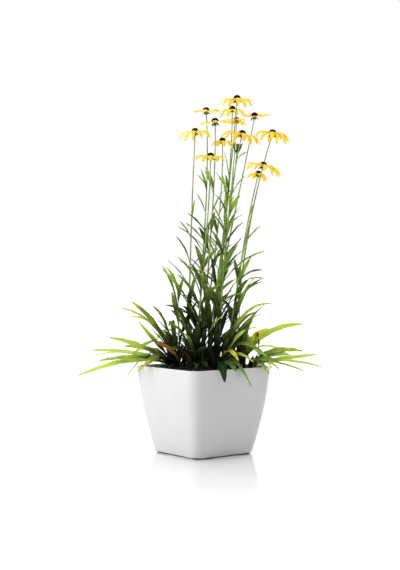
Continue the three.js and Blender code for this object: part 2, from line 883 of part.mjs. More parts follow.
// Smaller leaves up one stem, each turned a golden angle on from the last.
function smallLeaves(stem) {
  const roll = dice(stem.seed);
  const ground = stem.curve.getPoint(0).z;
  const rise = stem.curve.getPoint(1).z - ground;
  const leaves = [];
  let direction = 360 * roll();
  for (let height = LEAF_FIRST + 10 * roll(); height < stem.leafyShare * rise; ) {
    const share = Math.min(1, height / 400);
    const leaf = {
      height: ground + height,
      direction,
      length: (LEAF_LONGEST + (LEAF_SHORTEST - LEAF_LONGEST) * share) * (0.86 + 0.28 * roll()),
      width: (LEAF_WIDEST + (LEAF_NARROWEST - LEAF_WIDEST) * share) * (0.85 + 0.3 * roll()),
      steep: (14 + 14 * roll()) * DEGREE,
      spread: (42 + 44 * roll() * (1 - 0.4 * share)) * DEGREE,
      twist: 1.4 * (roll() - 0.5),
    };
    leaves.push(placeStemLeaf(stem, LEAF_TURNS, leaf));
    direction += GOLDEN_TURN;
    height += LEAF_STEP + LEAF_STEP_GROWTH * height;
  }
  return leaves;
}

function crownBody(ground) {
  const ring = (up, radius) => ringRound(ground.clone().setZ(ground.z + up), UP, radius, 7);
  return loft([
    ring(-ROOT_DEPTH, CROWN_RADIUS * 0.6),
    ring(-2, CROWN_RADIUS),
    ring(CROWN_HEIGHT * 0.5, CROWN_RADIUS * 0.9),
    ring(CROWN_HEIGHT, CROWN_RADIUS * 0.45),
  ]);
}

function tuftLeaves({ name, ground, leaves }) {
  return leaves.map(([across, away, up, middle, width, roll], index) => {
    const rootHeight = ground.z + 1 + ((CROWN_HEIGHT - 4) * index) / leaves.length;
    const candidates = TUFT_LIFTS.flatMap((lift) =>
      TUFT_TURNS.map((turn) => () => {
        const arm = vector(across - ground.x, away - ground.y, 0).applyAxisAngle(UP, turn * DEGREE);
        const root = ground.clone().addScaledVector(arm, 2.5 / arm.length()).setZ(rootHeight);
        const tip = ground.clone().add(arm).setZ(up + lift);
        return archLeaf({ root, tip, middle: middle + lift, width, roll: roll * DEGREE });
      }),
    );
    return firstClear(name, candidates, false);
  });
}

// A dead leaf and the stub that it springs from.
function deadLeaf({ foot, leaf }) {
  const [across, away, up, middle, width, roll] = leaf;
  const root = groundAt(foot);
  const ring = (rise, share) =>
    ringRound(root.clone().setZ(root.z + rise), UP, STEM_FOOT_RADIUS * share, STEM_SIDES);
  const tip = vector(across, away, up);
  const stub = loft([ring(-ROOT_DEPTH, 1), ring(3, 0.8)]);
  return stub.add(archLeaf({ root, tip, middle, width, roll: roll * DEGREE }));
}

// Assembly
const model = new THREE.Group();
const tub = new THREE.Group();
const plant = new THREE.Group();
plant.rotation.z = PLANT_TURN * DEGREE;
model.add(tub, plant);

const tubSolid = buildTub();
tub.add(meshOf("tub", tubSolid, "glaze"));
const footGeometry = buildFoot();
["back_right", "back_left", "front_left", "front_right"].forEach((corner, quarter) => {
  const angle = (45 + 90 * quarter) * DEGREE;
  const reach = TUB_BASE_SIDE / 2 - FOOT_INSET;
  const foot = new THREE.Mesh(footGeometry, new THREE.MeshStandardMaterial(COLOURS.rubber));
  foot.name = "foot_" + corner;
  foot.position.set(Math.sign(Math.cos(angle)) * reach, Math.sign(Math.sin(angle)) * reach, 0);
  tub.add(foot);
});

const soilSolid = buildSoil();
remember("tub", tubSolid.rotate([0, 0, -PLANT_TURN]));
remember("soil", soilSolid.rotate([0, 0, -PLANT_TURN]));

const holes = [];
function digHole(foot, radius) {
  const top = groundAt(foot).z;
  const ring = (z) => ringRound(vector(...fromPlant(...foot), z), UP, radius + HOLE_GAP, 6);
  holes.push(loft([ring(top - ROOT_DEPTH - HOLE_GAP), ring(top + 12)]));
}

function addHead(spec, curve, number) {
  const head = new THREE.Group();
  head.position.copy(curve.getPoint(1));
  head.quaternion.setFromUnitVectors(UP, leaning(spec.nod));
  head.updateMatrix();
  const add = (name, solid, colour) => {
    head.add(meshOf(name, solid, colour));
    remember(name, solid.transform(head.matrix.toArray()));
  };
  add("rays_" + number, rayRing(spec, dice(101 + number)), "ray");
  if (spec !== BUD) add("cone_" + number, coneDome(0.72 + spec.spread / 260), "cone");
  plant.add(head);
}

// Stems, heads and crowns come first, so that every leaf can keep clear of them.
const stems = [...FLOWERS, BUD, ...SHOOTS].map((spec, index) => {
  const flowering = Boolean(spec.rays);
  const name = flowering ? "stem_" + (index + 1) : "shoot_" + (index - FLOWERS.length);
  const curve = stemCurve(spec);
  const body = stemBody(curve, spec.nod);
  remember(name, body);
  digHole(spec.foot, STEM_FOOT_RADIUS * 1.2);
  if (flowering) addHead(spec, curve, index + 1);
  const leafyShare = spec.leafy ?? (flowering ? STEM_LEAFY_SHARE : SHOOT_LEAFY_SHARE);
  return { name, curve, body, leafyShare, leaves: spec.leaves, seed: 11 + index };
});

const tufts = TUFTS.map(({ name, foot, leaves }) => {
  const ground = groundAt(foot);
  const body = crownBody(ground);
  remember(name, body);
  digHole(foot, CROWN_RADIUS * 1.15);
  return { name, ground, leaves, body };
});

for (const dead of DEAD_LEAVES) {
  const solid = oneBody(deadLeaf(dead));
  remember(dead.name, solid);
  digHole(dead.foot, STEM_FOOT_RADIUS * 1.2);
  plant.add(meshOf(dead.name, solid, dead.colour));
}

// Leaves: the tufts' first, then the chosen ones of every stem, then the smaller ones in what room is left.
const grown = new Map(tufts.map((tuft) => [tuft, tuftLeaves(tuft)]));
for (const stem of stems) grown.set(stem, chosenLeaves(stem));
for (const stem of stems) grown.get(stem).push(...smallLeaves(stem));
for (const [part, leaves] of grown) {
  const fused = wasm.Manifold.union([part.body, ...leaves.filter(Boolean)]);
  plant.add(meshOf(part.name, oneBody(fused), stems.includes(part) ? "leaf" : "basal"));
}

tub.add(meshOf("soil", oneBody(soilSolid.subtract(wasm.Manifold.union(holes))), "soil"));

export default model;
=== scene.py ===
"""A clump of yellow coneflower daisies in a square white tub, dressed round its packed solids.

The tables and the laying-out rules repeat those that the solids were made by, in millimetres and in the
plant's own axes: across, away and up. Every mesh is in metres, in the frame's axes."""

import math
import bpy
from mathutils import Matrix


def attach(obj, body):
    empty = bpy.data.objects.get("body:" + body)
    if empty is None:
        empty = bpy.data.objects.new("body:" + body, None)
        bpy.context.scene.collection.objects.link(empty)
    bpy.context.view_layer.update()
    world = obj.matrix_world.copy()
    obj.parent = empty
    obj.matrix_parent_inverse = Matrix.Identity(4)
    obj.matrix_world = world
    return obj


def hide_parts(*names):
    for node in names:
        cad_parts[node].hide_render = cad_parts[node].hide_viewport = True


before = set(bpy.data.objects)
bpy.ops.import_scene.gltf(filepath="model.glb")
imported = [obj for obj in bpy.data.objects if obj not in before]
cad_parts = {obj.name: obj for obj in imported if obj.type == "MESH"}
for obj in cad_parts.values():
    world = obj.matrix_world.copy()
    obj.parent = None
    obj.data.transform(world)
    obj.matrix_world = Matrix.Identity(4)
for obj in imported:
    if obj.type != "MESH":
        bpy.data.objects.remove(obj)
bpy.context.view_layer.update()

from types import SimpleNamespace

import bpy
import numpy as np
from mathutils import Vector

bl_info = {
    "name": "Potted coneflower daisy",
    "version": (1, 0, 0),
    "blender": (4, 5, 0),
    "location": "3D View > Sidebar > Daisy",
    "description": "Dresses the packed solids of a potted coneflower daisy with fine meshes and finishes",
    "category": "Object",
}

# Tub and soil, as in the solids
TUB_TOP_SIDE = 200
TUB_BASE_SIDE = 148
TUB_HEIGHT = 170
TUB_CORNER = 22
TUB_BULGE = 3.8
TUB_WALL = 4.5
TUB_FLOOR = 6
RIM_ROUND = 1.4
FOOT_HEIGHT = 2.5
FOOT_RADIUS = 11
FOOT_INSET = 17
SEAT_GAP = 0.3
SOIL_BELOW_RIM = 8
SOIL_MOUND = 9
SOIL_LUMP = 1.6
STALK_DEPTH = 12  # how deep a stalk and a crown stand in the soil here

# Plant, as in the solids
PLANT_TURN = 52.2  # degrees from the tub's front face to the plant's own front
STEM_FOOT_RADIUS = 2
STEM_NECK_RADIUS = 1
STEM_START = 0.2
CALYX_RADIUS = 4.4
CALYX_DEPTH = 4
CONE_RADIUS = 7.3
CONE_HEIGHT = 7.8
RAY_ROOT = 3.8
RAY_THICKNESS = 0.9
RAY_WIDEST = 9
BLADE_FOLD = 0.15
GOLDEN_TURN = 137.5
LEAF_FIRST = 20
LEAF_STEP = 27
LEAF_STEP_GROWTH = 0.055
STEM_LEAFY_SHARE = 0.74
SHOOT_LEAFY_SHARE = 0.98
LONG_LEAF = 66
LEAF_LONGEST = 100
LEAF_SHORTEST = 42
LEAF_WIDEST = 11
LEAF_NARROWEST = 5.5
LEAF_TAPER = 400  # how far up leaves get shorter and narrower
LEAF_TURNS = [0, 24, -24, 48, -48, 72, -72, 100, -100, 130, -130, 160, -160]
CHOSEN_TURNS = [0, 6, -6, 12, -12, 18, -18, 26, -26, 36, -36, 48, -48]
LEAF_SHRINKS = [1, 0.8, 0.62]
CROWN_RADIUS = 6
CROWN_HEIGHT = 9
TUFT_TURNS = [0, 3, -3, 6, -6, 10, -10, 15, -15, 21, -21]
TUFT_LIFTS = [0, 6, -5, 12, 20]
TUFT_REACH = 0.3

# The photograph's frame and view
FRAME_WIDTH = 400
FRAME_HEIGHT = 570
VIEW_DISTANCE = 2400
VIEW_HEIGHT = 362
FOCAL_PIXELS = 1222
AXIS_PIXEL = (203.3, 268)  # where the tub's axis and the camera's own height lie in the picture
FLOOR_REACH = 30  # metres from the tub's axis to each side of the floor

# Flowering stems, in the plant's axes: foot on the soil, head, how wide the rays spread, how the stem leans
# and the head nods (degrees from upright, and the direction), how far the rays arch up, how far their tips
# drop and how unevenly, how many they are, and up to what share of its height smaller leaves fill the stem.
# Each chosen leaf: height, direction, length, width, and the angles from upright at the root and at the tip.
FLOWERS = [
    dict(
        foot=(22, -12), head=(66, -15, 690), spread=70, lean=(5, 0), nod=(4, 270), arch=5, drop=13,
        uneven=6, rays=12, leaves=[(530, 200, 60, 6, 4, 16), (488, 190, 56, 9, 6, 14)]
    ),
    dict(
        foot=(-12, 22), head=(6, 35, 673), spread=60, lean=(3, 180), nod=(8, 235), arch=3, drop=3, uneven=6,
        rays=11, leaves=[(417, 200, 52, 12, 35, 62), (522, 185, 32, 5, 25, 45), (472, 175, 43, 6, 15, 35)]
    ),
    dict(
        foot=(14, 32), head=(58, 50, 678), spread=58, lean=(3, 270), nod=(8, 270), arch=4, drop=12,
        uneven=8, rays=10, leaves=[(444, 180, 54, 7, 20, 36)]
    ),
    dict(
        foot=(26, 54), head=(68, 106, 663), spread=46, lean=(6, 60), nod=(6, 60), arch=3, drop=8, uneven=10,
        rays=9, leaves=[]
    ),
    dict(
        foot=(10, 22), head=(102, 30, 662), spread=66, lean=(11, 0), nod=(9, 262), arch=0, drop=-5,
        uneven=4, rays=10, leafy=0.42, leaves=[]
    ),
    dict(
        foot=(-2, -10), head=(23, -36, 643), spread=70, lean=(2, 250), nod=(8, 228), arch=3, drop=4,
        uneven=7, rays=12, leaves=[(505, 180, 51, 6, 12, 28)]
    ),
    dict(
        foot=(-30, 6), head=(-16, 4, 628), spread=66, lean=(3, 10), nod=(5, 230), arch=6, drop=13,
        uneven=10, rays=11, leafy=0.42, leaves=[(421, 180, 40, 7, 20, 48), (448, 10, 50, 7, 3, 12),
        (368, 185, 65, 8, 8, 45), (293, 190, 88, 10, 30, 50), (272, 160, 56, 9, 55, 90)]
    ),
    dict(
        foot=(28, -34), head=(74, -54, 617), spread=80, lean=(13, 345), nod=(14, 350), arch=6, drop=14,
        uneven=10, rays=13, leaves=[(572, 10, 24, 6, 40, 70), (504, 350, 46, 7, 25, 50),
        (456, 345, 52, 11, 15, 40), (333, 350, 106, 9, 30, 76), (295, 340, 56, 8, 45, 95)]
    ),
    dict(
        foot=(0, 42), head=(38, 24, 612), spread=46, lean=(4, 250), nod=(8, 270), arch=4, drop=11, uneven=8,
        rays=9, leaves=[]
    ),
    dict(
        foot=(55, 4), head=(136, 2, 625), spread=72, lean=(18, 0), nod=(8, 0), arch=6, drop=14, uneven=8,
        rays=11, leafy=0.36, leaves=[(385, 20, 47, 6, 5, 20), (400, 30, 45, 7, 35, 60),
        (331, 10, 52, 5, 50, 108), (446, 0, 42, 6, 2, 14)]
    ),
    dict(
        foot=(-14, -34), head=(14, -65, 573), spread=64, lean=(2, 300), nod=(4, 290), arch=5, drop=8,
        uneven=6, rays=12, leaves=[(303, 195, 96, 13, 5, 55), (374, 340, 85, 13, 4, 14)]
    ),
    dict(
        foot=(44, -24), head=(115, -45, 557), spread=78, lean=(15, 355), nod=(12, 350), arch=6, drop=11,
        uneven=8, rays=13, leafy=0.45, leaves=[(411, 0, 44, 7, 30, 55), (329, 350, 62, 9, 20, 100)]
    ),
    dict(
        foot=(52, 32), head=(109, 30, 547), spread=42, lean=(15, 20), nod=(10, 20), arch=3, drop=10,
        uneven=8, rays=9, leafy=0.45, leaves=[]
    ),
]
BUD = dict(
    foot=(6, 10), head=(66, 5, 590), spread=22, lean=(5, 0), nod=(5, 0), arch=5, drop=-15, uneven=4, rays=8,
    leaves=[]
)
SHOOTS = [
    dict(
        foot=(-46, 4), head=(-50, 2, 326), leaves=[(276, 175, 98, 9, 5, 34), (290, 0, 74, 8, 2, 32),
        (284, 160, 70, 9, 40, 62)]
    ),
    dict(
        foot=(66, -2), head=(72, 8, 318), leaves=[]
    ),
]
TUFTS = [
    dict(
        name="tuft_left_low", foot=(-62, -14), leaves=[(-78, -40, 238, 212, 12, -15),
        (-50, -46, 232, 208, 11, -10), (-154, -30, 210, 202, 14, -45), (-182, -40, 228, 206, 15, -50),
        (-136, 36, 196, 200, 14, -30), (-127, -44, 162, 186, 11, -30), (-112, -62, 178, 194, 14, -35),
        (-158, 2, 138, 197, 8, -20), (-222, 14, 200, 194, 14, -35), (-206, -8, 180, 188, 13, -45),
        (-229, 42, 186, 196, 8, -20), (-176, -66, 178, 184, 12, -35), (-247, -12, 151, 183, 17, -38)]
    ),
    dict(
        name="tuft_left_high", foot=(-54, 30), leaves=[(-144, 30, 296, 244, 14, -50),
        (-164, 20, 283, 248, 10, -35), (-153, 50, 263, 246, 10, -30), (-101, 24, 286, 250, 12, -40),
        (-68, 8, 246, 250, 12, 10), (-40, 26, 240, 214, 12, 0), (-60, 46, 244, 214, 10, 0),
        (-76, -6, 240, 214, 11, 10), (-104, 6, 243, 212, 10, -20), (-128, 8, 257, 206, 13, -60),
        (-150, 94, 176, 216, 14, 20), (-96, 88, 214, 232, 14, 30)]
    ),
    dict(
        name="tuft_middle", foot=(-12, -62), leaves=[(-62, -72, 256, 228, 14, -30),
        (-38, -94, 240, 218, 13, -20), (-10, -92, 258, 228, 12, 15), (20, -90, 250, 222, 12, 30),
        (40, -84, 272, 240, 10, 30), (-34, -50, 236, 212, 12, 0), (-20, -42, 242, 214, 10, 0),
        (8, -48, 250, 218, 10, 0), (-52, -64, 282, 238, 10, -35), (-72, -84, 206, 206, 13, -40),
        (-24, -112, 206, 204, 14, -15), (4, -106, 214, 206, 14, 15), (-14, -118, 176, 184, 13, -10),
        (8, -116, 177, 186, 13, 10)]
    ),
    dict(
        name="tuft_front", foot=(30, -64), leaves=[(134, -40, 293, 266, 9, 35), (103, -26, 277, 243, 9, 35),
        (81, -96, 246, 216, 19, 45), (50, -60, 232, 208, 12, 20), (22, -42, 244, 214, 10, 0),
        (127, -84, 187, 218, 13, 30), (96, -102, 184, 200, 10, 20), (66, -112, 188, 206, 11, 20),
        (62, -118, 168, 187, 15, 20), (92, -80, 136, 189, 13, 20), (40, -124, 148, 185, 18, 5)]
    ),
    dict(
        name="tuft_right_low", foot=(84, -22), leaves=[(194, -30, 201, 200, 15, 45),
        (160, -14, 198, 190, 15, 40), (172, 30, 190, 188, 13, 30), (224, 4, 192, 183, 15, 35),
        (150, -66, 178, 188, 14, 30), (126, -50, 157, 186, 13, 20), (237, 22, 166, 182, 12, 30),
        (196, -74, 164, 182, 8, 25)]
    ),
    dict(
        name="tuft_right_high", foot=(74, 34), leaves=[(199, 30, 250, 231, 16, 50),
        (131, 56, 240, 215, 20, 50), (106, 40, 276, 240, 11, 30), (62, 22, 238, 214, 12, 0),
        (80, 50, 244, 216, 10, 0), (86, 12, 246, 222, 12, 20), (92, 40, 230, 210, 12, 0),
        (176, 86, 184, 206, 13, -20), (118, 106, 204, 220, 13, 20)]
    ),
    dict(
        name="tuft_back_left", foot=(-22, 76), leaves=[(-50, 60, 236, 212, 13, 0),
        (-16, 66, 242, 214, 13, 0), (6, 84, 238, 214, 13, 0), (-40, 134, 256, 236, 13, -20),
        (-86, 112, 232, 226, 13, 30), (-6, 158, 206, 220, 13, -10), (-60, 164, 188, 214, 14, -20),
        (-92, 140, 152, 202, 14, 20), (-34, 196, 142, 204, 14, 10)]
    ),
    dict(
        name="tuft_back_right", foot=(52, 76), leaves=[(58, 60, 244, 216, 13, 0), (78, 64, 234, 212, 13, 0),
        (76, 138, 258, 238, 13, 20), (112, 116, 238, 226, 13, -30), (34, 168, 216, 222, 13, 10),
        (104, 172, 186, 214, 14, 20), (144, 146, 152, 204, 14, -20), (64, 194, 146, 204, 14, -10)]
    ),
]
DEAD_LEAVES = [
    dict(name="withered_leaf", foot=(-40, -44), leaf=(-92, -50, 218, 203, 9, 80)),
    dict(name="dry_stalk", foot=(111, 2), leaf=(101, 0, 212, 230, 8, 60)),
    dict(name="yellow_leaf", foot=(98, -26), leaf=(148, -26, 164, 183, 12, 30)),
]
# Leaves of the tufts that have begun to yellow: how far, from 0 to 1, by tuft and place in its table.
YELLOWING = {
    ("tuft_left_low", 2): 0.45,
    ("tuft_left_low", 5): 0.9,
    ("tuft_front", 7): 0.55,
    ("tuft_right_low", 5): 0.3,
}

# Across a leaf: where its columns of points stand, and how far its upper side is raised for its veins.
COLUMNS = np.array([-1, -0.74, -0.46, -0.18, 0, 0.18, 0.46, 0.74, 1])
PLEATS = np.array([0, 0.06, -0.12, 0.1, -0.22, 0.1, -0.12, 0.06, 0])

# Across a ray: where its columns stand, how deep its two grooves are there, and how far its tip is notched.
RAY_COLUMNS = np.array([-1, -0.8, -0.58, -0.36, -0.18, 0, 0.18, 0.36, 0.58, 0.8, 1])
RAY_GROOVES = np.array([0, 0, 0.3, 1, 0.3, 0, 0.3, 1, 0.3, 0, 0])
RAY_NOTCHES = np.array([2.2, 0.9, 0.35, 1, 0.3, 0, 0.3, 1, 0.35, 0.9, 2.2])

RAY_ARCH = 27 / 4  # brings the top of t * t * (1 - t) to 1
RAY_ROOM = 0.42  # half a ray's width at most, as a share of the way to its neighbour

# The kinds of skin on a stem, as places in its list of finishes.
STALK, GREEN, BRACT, HAIR = range(4)
STALK_SIDES = 12
STALK_STATIONS = 44
HAIR_THICKNESS = 0.16
CRUMB_SIDES = 6
SAME_POINT = 0.05  # points of a leaf and of its solid are the same when they are this close

DEGREE = math.pi / 180
MILLIMETRE = 0.001
TURN = 2 * math.pi
UP = np.array([0.0, 0.0, 1.0])
PACKED = {name: np.array([v.co for v in solid.data.vertices]) for name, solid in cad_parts.items()}


# Numbers and curves


class Dice:
    """A seeded run of numbers from 0 to 1, the same on every machine."""

    def __init__(self, seed):
        self.state = seed * 2654435761 % 2**32
        self.roll()
        self.roll()

    def roll(self, low=0.0, high=1.0):
        self.state = (self.state * 1664525 + 1013904223) % 2**32
        return low + (high - low) * self.state / 2**32

    def rolls(self, count, low, high):
        return np.array([self.roll(low, high) for _ in range(count)])


def vector(*parts):
    return np.array(parts, dtype=float)


def unit(rows):
    return rows / np.linalg.norm(rows, axis=-1, keepdims=True)


def mixed(low, high, share):
    return low + (high - low) * share


def smooth(low, high, value):
    """0 below low, 1 above high, and an even bend between."""
    share = np.clip((value - low) / (high - low), 0, 1)
    return share * share * (3 - 2 * share)


def framed(points):
    """Points in millimetres, in the frame's own axes, brought to metres."""
    return points * MILLIMETRE


def planted(points):
    """Points of the plant's axes in the frame's, in metres."""
    c, s = math.cos(PLANT_TURN * DEGREE), math.sin(PLANT_TURN * DEGREE)
    return framed(points @ np.array([[c, s, 0], [-s, c, 0], [0, 0, 1]]))


def soil_height(share, x, y):
    """The soil's height at a share of the way from its edge to its middle."""
    lump = np.sin(x * 0.13 + 1.7) * np.cos(y * 0.11 - 0.6) + 0.6 * np.sin(x * 0.07 - y * 0.17)
    mound = SOIL_MOUND * np.sin(share * math.pi / 2)
    return TUB_HEIGHT - SOIL_BELOW_RIM + mound + SOIL_LUMP * lump * share


def soil_top_at(x, y):
    reach = np.maximum(np.abs(x), np.abs(y)) / (TUB_TOP_SIDE / 2 - TUB_WALL - SEAT_GAP)
    return soil_height(np.maximum(0, 1 - reach), x, y)


def ground_at(foot):
    """Where a foot of the plant meets the soil, in the plant's axes."""
    x, y = planted(vector(*foot, 0))[:2] / MILLIMETRE
    return vector(*foot, soil_top_at(x, y))


def leaning(tilt, direction):
    """The way up of something that leans by some degrees towards a direction."""
    t, d = tilt * DEGREE, direction * DEGREE
    return vector(math.sin(t) * math.cos(d), math.sin(t) * math.sin(d), math.cos(t))


def stem_curve(spec):
    """A stem rises from its foot and leans over to its head. Its height grows evenly along the curve."""
    ground = ground_at(spec["foot"])
    top = vector(*spec["head"])
    third = (top[2] - ground[2]) / 3
    low = mixed(ground, top, STEM_START)
    low[2] = ground[2] + third
    axis = leaning(*spec.get("lean", (0, 0)))
    return ground, low, top - axis * third / axis[2], top


def on_curve(curve, t):
    """Points and slopes of a Bezier curve of three or four points at shares t of its way."""
    t = np.atleast_1d(t)[:, None]

    def at(points):
        order = len(points) - 1
        return sum(math.comb(order, k) * t**k * (1 - t) ** (order - k) * p for k, p in enumerate(points))

    return at(curve), unit(at([b - a for a, b in zip(curve, curve[1:])]))


def leaf_width(t, root, widest, fineness=0.75):
    """Width along a leaf, as a share of its widest, from its root at 0 to its tip at 1, which is blunter the
    smaller its fineness."""
    rising = root + (1 - root) * np.sin(math.pi / 2 * np.minimum(t / widest, 1)) ** 1.6
    falling = np.cos(math.pi / 2 * np.clip((t - widest) / (1 - widest), 0, 1)) ** fineness
    return np.where(t < widest, rising, falling)


# Closed meshes


def part(points, faces, marks=None, look=(0.5, 0, 0.5), finish=0):
    """A closed piece of mesh. Marks say where on its leaf each point lies: across from -1 to 1, along from
    0 to 1, and 1 on the upper side. Look is the leaf's tone, how far it has yellowed, and its own number."""
    marks = np.zeros((len(points), 3)) if marks is None else marks.reshape(-1, 3)
    look = np.tile(vector(*look), (len(points), 1))
    return SimpleNamespace(points=points, faces=faces, blade=marks, look=look, finish=finish)


def skin(rings, place, tip=None, flat=False, **kind):
    """A closed skin over rings of points, each ring seen anticlockwise from ahead. A tip closes the far end
    in one point, and a flat end is closed from each side to the other."""
    rings = np.array(rings)
    count, around = rings.shape[:2]
    last = (count - 1) * around
    starts = np.arange(count - 1)[:, None] * around
    near, far = starts + np.arange(around), starts + np.roll(np.arange(around), -1)
    faces = np.stack([near, far, far + around, near + around], axis=-1).reshape(-1, 4).tolist()
    faces.append(list(range(around))[::-1])
    points = rings.reshape(-1, 3)
    if flat:
        over = last + around - 1
        faces += [[last + i, last + i + 1, over - i - 1, over - i] for i in range(around // 2 - 1)]
    elif tip is None:
        faces.append(list(range(last, last + around)))
    else:
        faces += [[last + i, last + (i + 1) % around, last + around] for i in range(around)]
        points = np.vstack([points, tip])
    return part(place(points), faces, **kind)


def rings_round(centres, along, radii, sides, ridges=0.0):
    """Round rings square to a path. Every second point stands out by a share of the radius."""
    along = np.broadcast_to(along, centres.shape)
    right = unit(vector(1, 0, 0) - along * along[:, :1])
    back = np.cross(along, right)
    angles = np.arange(sides) * TURN / sides
    reach = np.asarray(radii)[:, None] * (1 + ridges * (np.arange(sides) % 2 * 2 - 1))
    return (
        centres[:, None]
        + (reach * np.cos(angles))[..., None] * right[:, None]
        + (reach * np.sin(angles))[..., None] * back[:, None]
    )


def rings_up(foot, axis, rises, radii, sides, ridges=0.0):
    """Round rings at rises up a straight axis from a foot."""
    return rings_round(foot + axis * vector(*rises)[:, None], axis, radii, sides, ridges)


def new_object(name, data):
    """An object of the scene, with its mesh, light or camera."""
    made = bpy.data.objects.new(name, data)
    bpy.context.scene.collection.objects.link(made)
    return made


def make_piece(name, parts, finishes, stands_for=(), sharp=50):
    """One object of all the parts, riding on the part's one body in place of its solids."""
    starts = np.cumsum([0] + [len(p.points) for p in parts]).tolist()
    faces = [[start + i for i in face] for p, start in zip(parts, starts) for face in p.faces]
    mesh = bpy.data.meshes.new(name)
    mesh.from_pydata(np.vstack([p.points for p in parts]), [], faces)
    for kind in ("blade", "look"):
        rows = np.vstack([getattr(p, kind) for p in parts])
        mesh.attributes.new(kind, "FLOAT_VECTOR", "POINT").data.foreach_set("vector", rows.ravel())
    for finish in finishes:
        mesh.materials.append(finish)
    worn = np.repeat([p.finish for p in parts], [len(p.faces) for p in parts])
    mesh.polygons.foreach_set("material_index", worn)
    mesh.polygons.foreach_set("use_smooth", np.ones(len(faces), dtype=bool))
    mesh.set_sharp_from_angle(angle=sharp * DEGREE)
    piece = new_object(name, mesh)
    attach(piece, "root")
    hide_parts(*stands_for)


# Leaves


def arc_leaf(root, azimuth, length, width, steep, spread, twist):
    """A stem's leaf: an arc in an upright plane, between its angles off the vertical at the root and tip."""
    out = vector(math.cos(azimuth), math.sin(azimuth), 0)
    bend = spread - steep

    def at(t):
        angle = steep + bend * t[:, None]
        across = out * (math.cos(steep) - np.cos(angle)) * length / bend
        rise = UP * (np.sin(angle) - math.sin(steep)) * length / bend
        return root + across + rise, out * np.sin(angle) + UP * np.cos(angle)

    return SimpleNamespace(
        at=at,
        side=vector(-math.sin(azimuth), math.cos(azimuth), 0),
        length=length,
        width=width,
        share=lambda t: leaf_width(t, 0.2, 0.45),
        roll=lambda t: twist * t,
        last_stop=0.8 if length > LONG_LEAF else 0.72,
    )


def arch_leaf(root, tip, middle, width, roll):
    """A basal leaf: a quadratic arch from its crown to its tip, at a given height halfway."""
    control = mixed(root, tip, TUFT_REACH)
    control[2] = 2 * middle - (root[2] + tip[2]) / 2
    return SimpleNamespace(
        at=lambda t: on_curve((root, control, tip), t),
        side=unit(vector(root[1] - tip[1], tip[0] - root[0], 0)),
        length=np.linalg.norm(control - root) + np.linalg.norm(tip - control),
        width=width,
        share=lambda t: leaf_width(t, 0.25, 0.56, 0.65),
        roll=lambda t: roll * DEGREE * (0.3 + 0.7 * t),
        last_stop=0.8,
    )


def leaf_axes(leaf, t):
    """The rib's points, and the ways across and up from the blade, at shares t of its length."""
    centre, along = leaf.at(t)
    normal = unit(np.cross(along, leaf.side))
    c, s = np.cos(leaf.roll(t))[:, None], np.sin(leaf.roll(t))[:, None]
    across = leaf.side * c + normal * s
    return centre, across, unit(np.cross(along, across))


def as_packed(node, candidates):
    """The first candidate that the packed node has: two or three of its tip and of its margins at its last
    stop are points of the node. None, where the node has none of them."""
    for leaf in candidates:
        t = vector(leaf.last_stop, 1)
        centre, across, _ = leaf_axes(leaf, t)
        half = across[0] * leaf.width * leaf.share(t)[0] / 2
        probes = planted(np.array([centre[1], centre[0] - half, centre[0] + half]))
        gaps = np.linalg.norm(PACKED[node] - probes[:, None], axis=-1).min(axis=1)
        if sum(gaps < SAME_POINT * MILLIMETRE) >= 2:
            return leaf
    return None


def marks_on(columns, t):
    """Where the points of a blade's rings lie: below from one margin to the other, then back above."""
    side = np.repeat([0.0, 1.0], len(columns))
    return np.stack(np.broadcast_arrays(np.concatenate([columns, columns[::-1]]), t, side), axis=-1)


def blade(leaf, look, dice, stations=16, crumple=1.0, finish=0):
    """A leaf blade: two thin curved sides with veins, a channel over the rib, and waved margins."""
    sizes = bpy.context.scene.daisy_leaves
    t = 1 - (1 - np.linspace(0, 1, stations + 1)[:-1]) ** 1.25
    centre, across, upright = leaf_axes(leaf, t)
    half = leaf.width * leaf.share(t)[:, None] / 2
    t = t[:, None]
    waves = dice.roll(1.2, 2.6) * max(1, leaf.length / 60)
    phases = np.where(COLUMNS < 0, dice.roll(0, 6.3), dice.roll(0, 6.3))
    wave = sizes.edge_wave * leaf.width * crumple * np.sin(math.pi * t) * COLUMNS**2
    wave = wave * np.sin(TURN * waves * t + phases)
    channel = -2 * BLADE_FOLD * half * (1 - np.abs(COLUMNS) ** 1.5) + wave
    middle = channel + PLEATS * sizes.vein_relief / MILLIMETRE * np.minimum(1, half / 4)
    rib = np.where(COLUMNS == 0, sizes.rib_depth / MILLIMETRE, 0) * (1 - 0.75 * t) * min(1, leaf.width / 9)
    sway = dice.roll(-0.05, 0.05) * leaf.width * np.sin(math.pi * t * dice.roll(1.5, 2.5))
    thick = sizes.thickness / MILLIMETRE / 2
    heights = np.concatenate([middle - thick - rib, (middle + thick)[:, ::-1]], axis=1)
    marks = marks_on(COLUMNS, t)
    sideways = half * marks[..., 0] + sway
    rings = centre[:, None] + across[:, None] * sideways[..., None] + upright[:, None] * heights[..., None]
    marks = np.vstack([marks.reshape(-1, 3), [0, 1, 1]])
    return skin(rings, planted, leaf.at(vector(1))[0], marks=marks, look=look, finish=finish)


